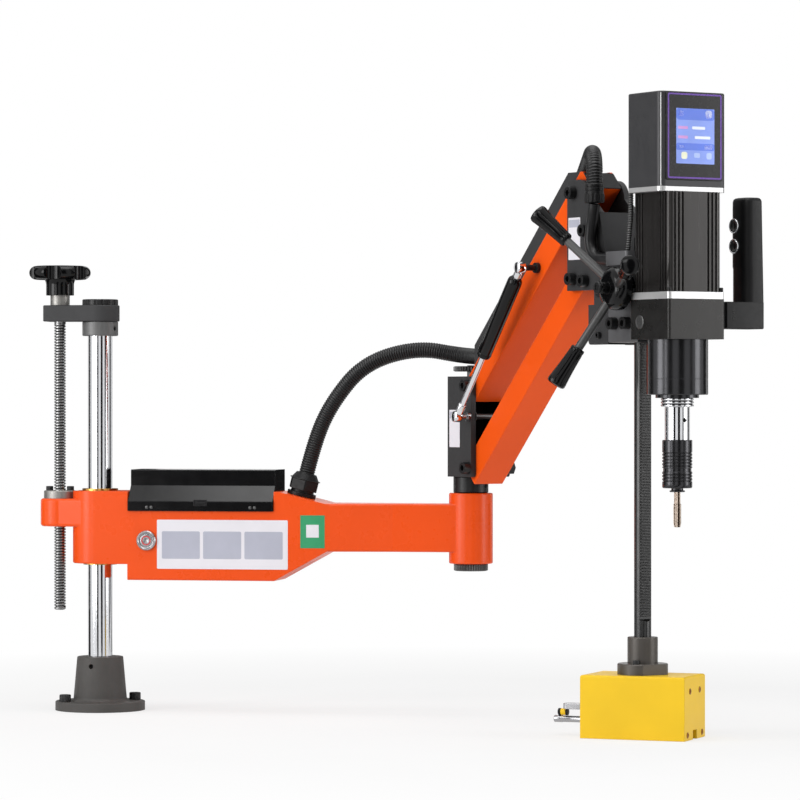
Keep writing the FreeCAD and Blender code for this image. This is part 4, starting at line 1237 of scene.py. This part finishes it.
def add_world():
    """White background for what is seen, a lower even level for what it lights."""
    world = bpy.data.worlds.new("studio")
    bpy.context.scene.world = world
    nodes = Nodes(world)
    white = nodes.tree.nodes["Background"]
    white.inputs["Color"].default_value = (1, 1, 1, 1)
    level = nodes.add("ShaderNodeMapRange", Value=seen_rays(nodes))
    level.inputs["To Min"].default_value = WORLD_LEVEL
    level.inputs["To Max"].default_value = 1.0
    nodes.feed(white.inputs["Strength"], level.outputs["Result"])


def add_lamp(name, place, size, watts):
    """Area lamp that faces the middle of the machine, unseen by the camera."""
    data = bpy.data.lights.new(name, "AREA")
    data.shape = "RECTANGLE"
    data.size, data.size_y = size
    data.energy = watts
    lamp = add_object(name, data)
    lamp.location = place
    lamp.rotation_euler = (Vector(MIDDLE) - place).to_track_quat("-Z", "Y").to_euler()
    lamp.visible_camera = False


def add_flag(name, centre, angle, width):
    """Dark card that only reflections see: a sector along the floor, then straight up."""
    heading, half = radians(angle + CAMERA_HEADING), radians(width / 2)
    mesh = bmesh.new()
    rows = []
    for reach, height in ((1.0, 0.001), (3.0, 0.001), (6.0, 0.001), (6.0, 2.5), (6.0, 5.0)):
        row = []
        for turn in (-half, 0.0, half):
            spot = Vector((*centre, 0)) + polar(reach, heading + turn, height)
            row.append(mesh.verts.new(spot))
        rows.append(row)
    for low, high in zip(rows, rows[1:]):
        for k in (0, 1):
            mesh.faces.new((low[k], low[k + 1], high[k + 1], high[k]))
    data = mesh_data(name, mesh)
    data.materials.append(finishes["panel_black"])
    card = add_object(name, data)
    card.visible_camera = False
    card.visible_diffuse = False
    card.visible_shadow = False


def around(angle, distance, height):
    """Place at an angle to the right of the line from the machine to the camera."""
    return Vector((MIDDLE[0], 0, 0)) + polar(distance, radians(angle + CAMERA_HEADING), height)


def add_studio():
    add_world()
    add_floor()
    lamps = {
        "left": (around(-62, 3.2, 0.95), (1.2, 2.4), 48),
        "strip": (around(-38, 3.2, 0.95), (0.3, 2.4), 11),
        "right": (around(72, 3.2, 0.9), (1.0, 2.2), 30),
        "front": (around(-10, 3.4, 2.7), (1.6, 0.8), 14),
        "top": (Vector((0.5, -0.5, 3.3)), (2.2, 2.0), 50),
    }
    for name, (place, size, watts) in lamps.items():
        add_lamp(name, place, size, watts)
    column, head = (0.1, 0.0), (0.6, -0.15)
    flags = ((column, -22, 17), (column, 17, 19), (column, 50, 8), (head, -118, 30), (head, 118, 24))
    flags += ((head, -160, 24), (head, 160, 24))
    for k, (centre, angle, width) in enumerate(flags):
        add_flag(f"flag_{k}", centre, angle, width)


# ---- scene ----

add_camera()
bpy.context.scene.view_settings.view_transform = "Standard"
dress_nodes()
add_lines()
lead_screw()
column_fasteners()
arm_1_details()
elbow_details()
gas_spring()
link_end()
head_details()
connector()
chuck()
tap()
display()
handle()
capstan_details()
foot_details()
add_studio()
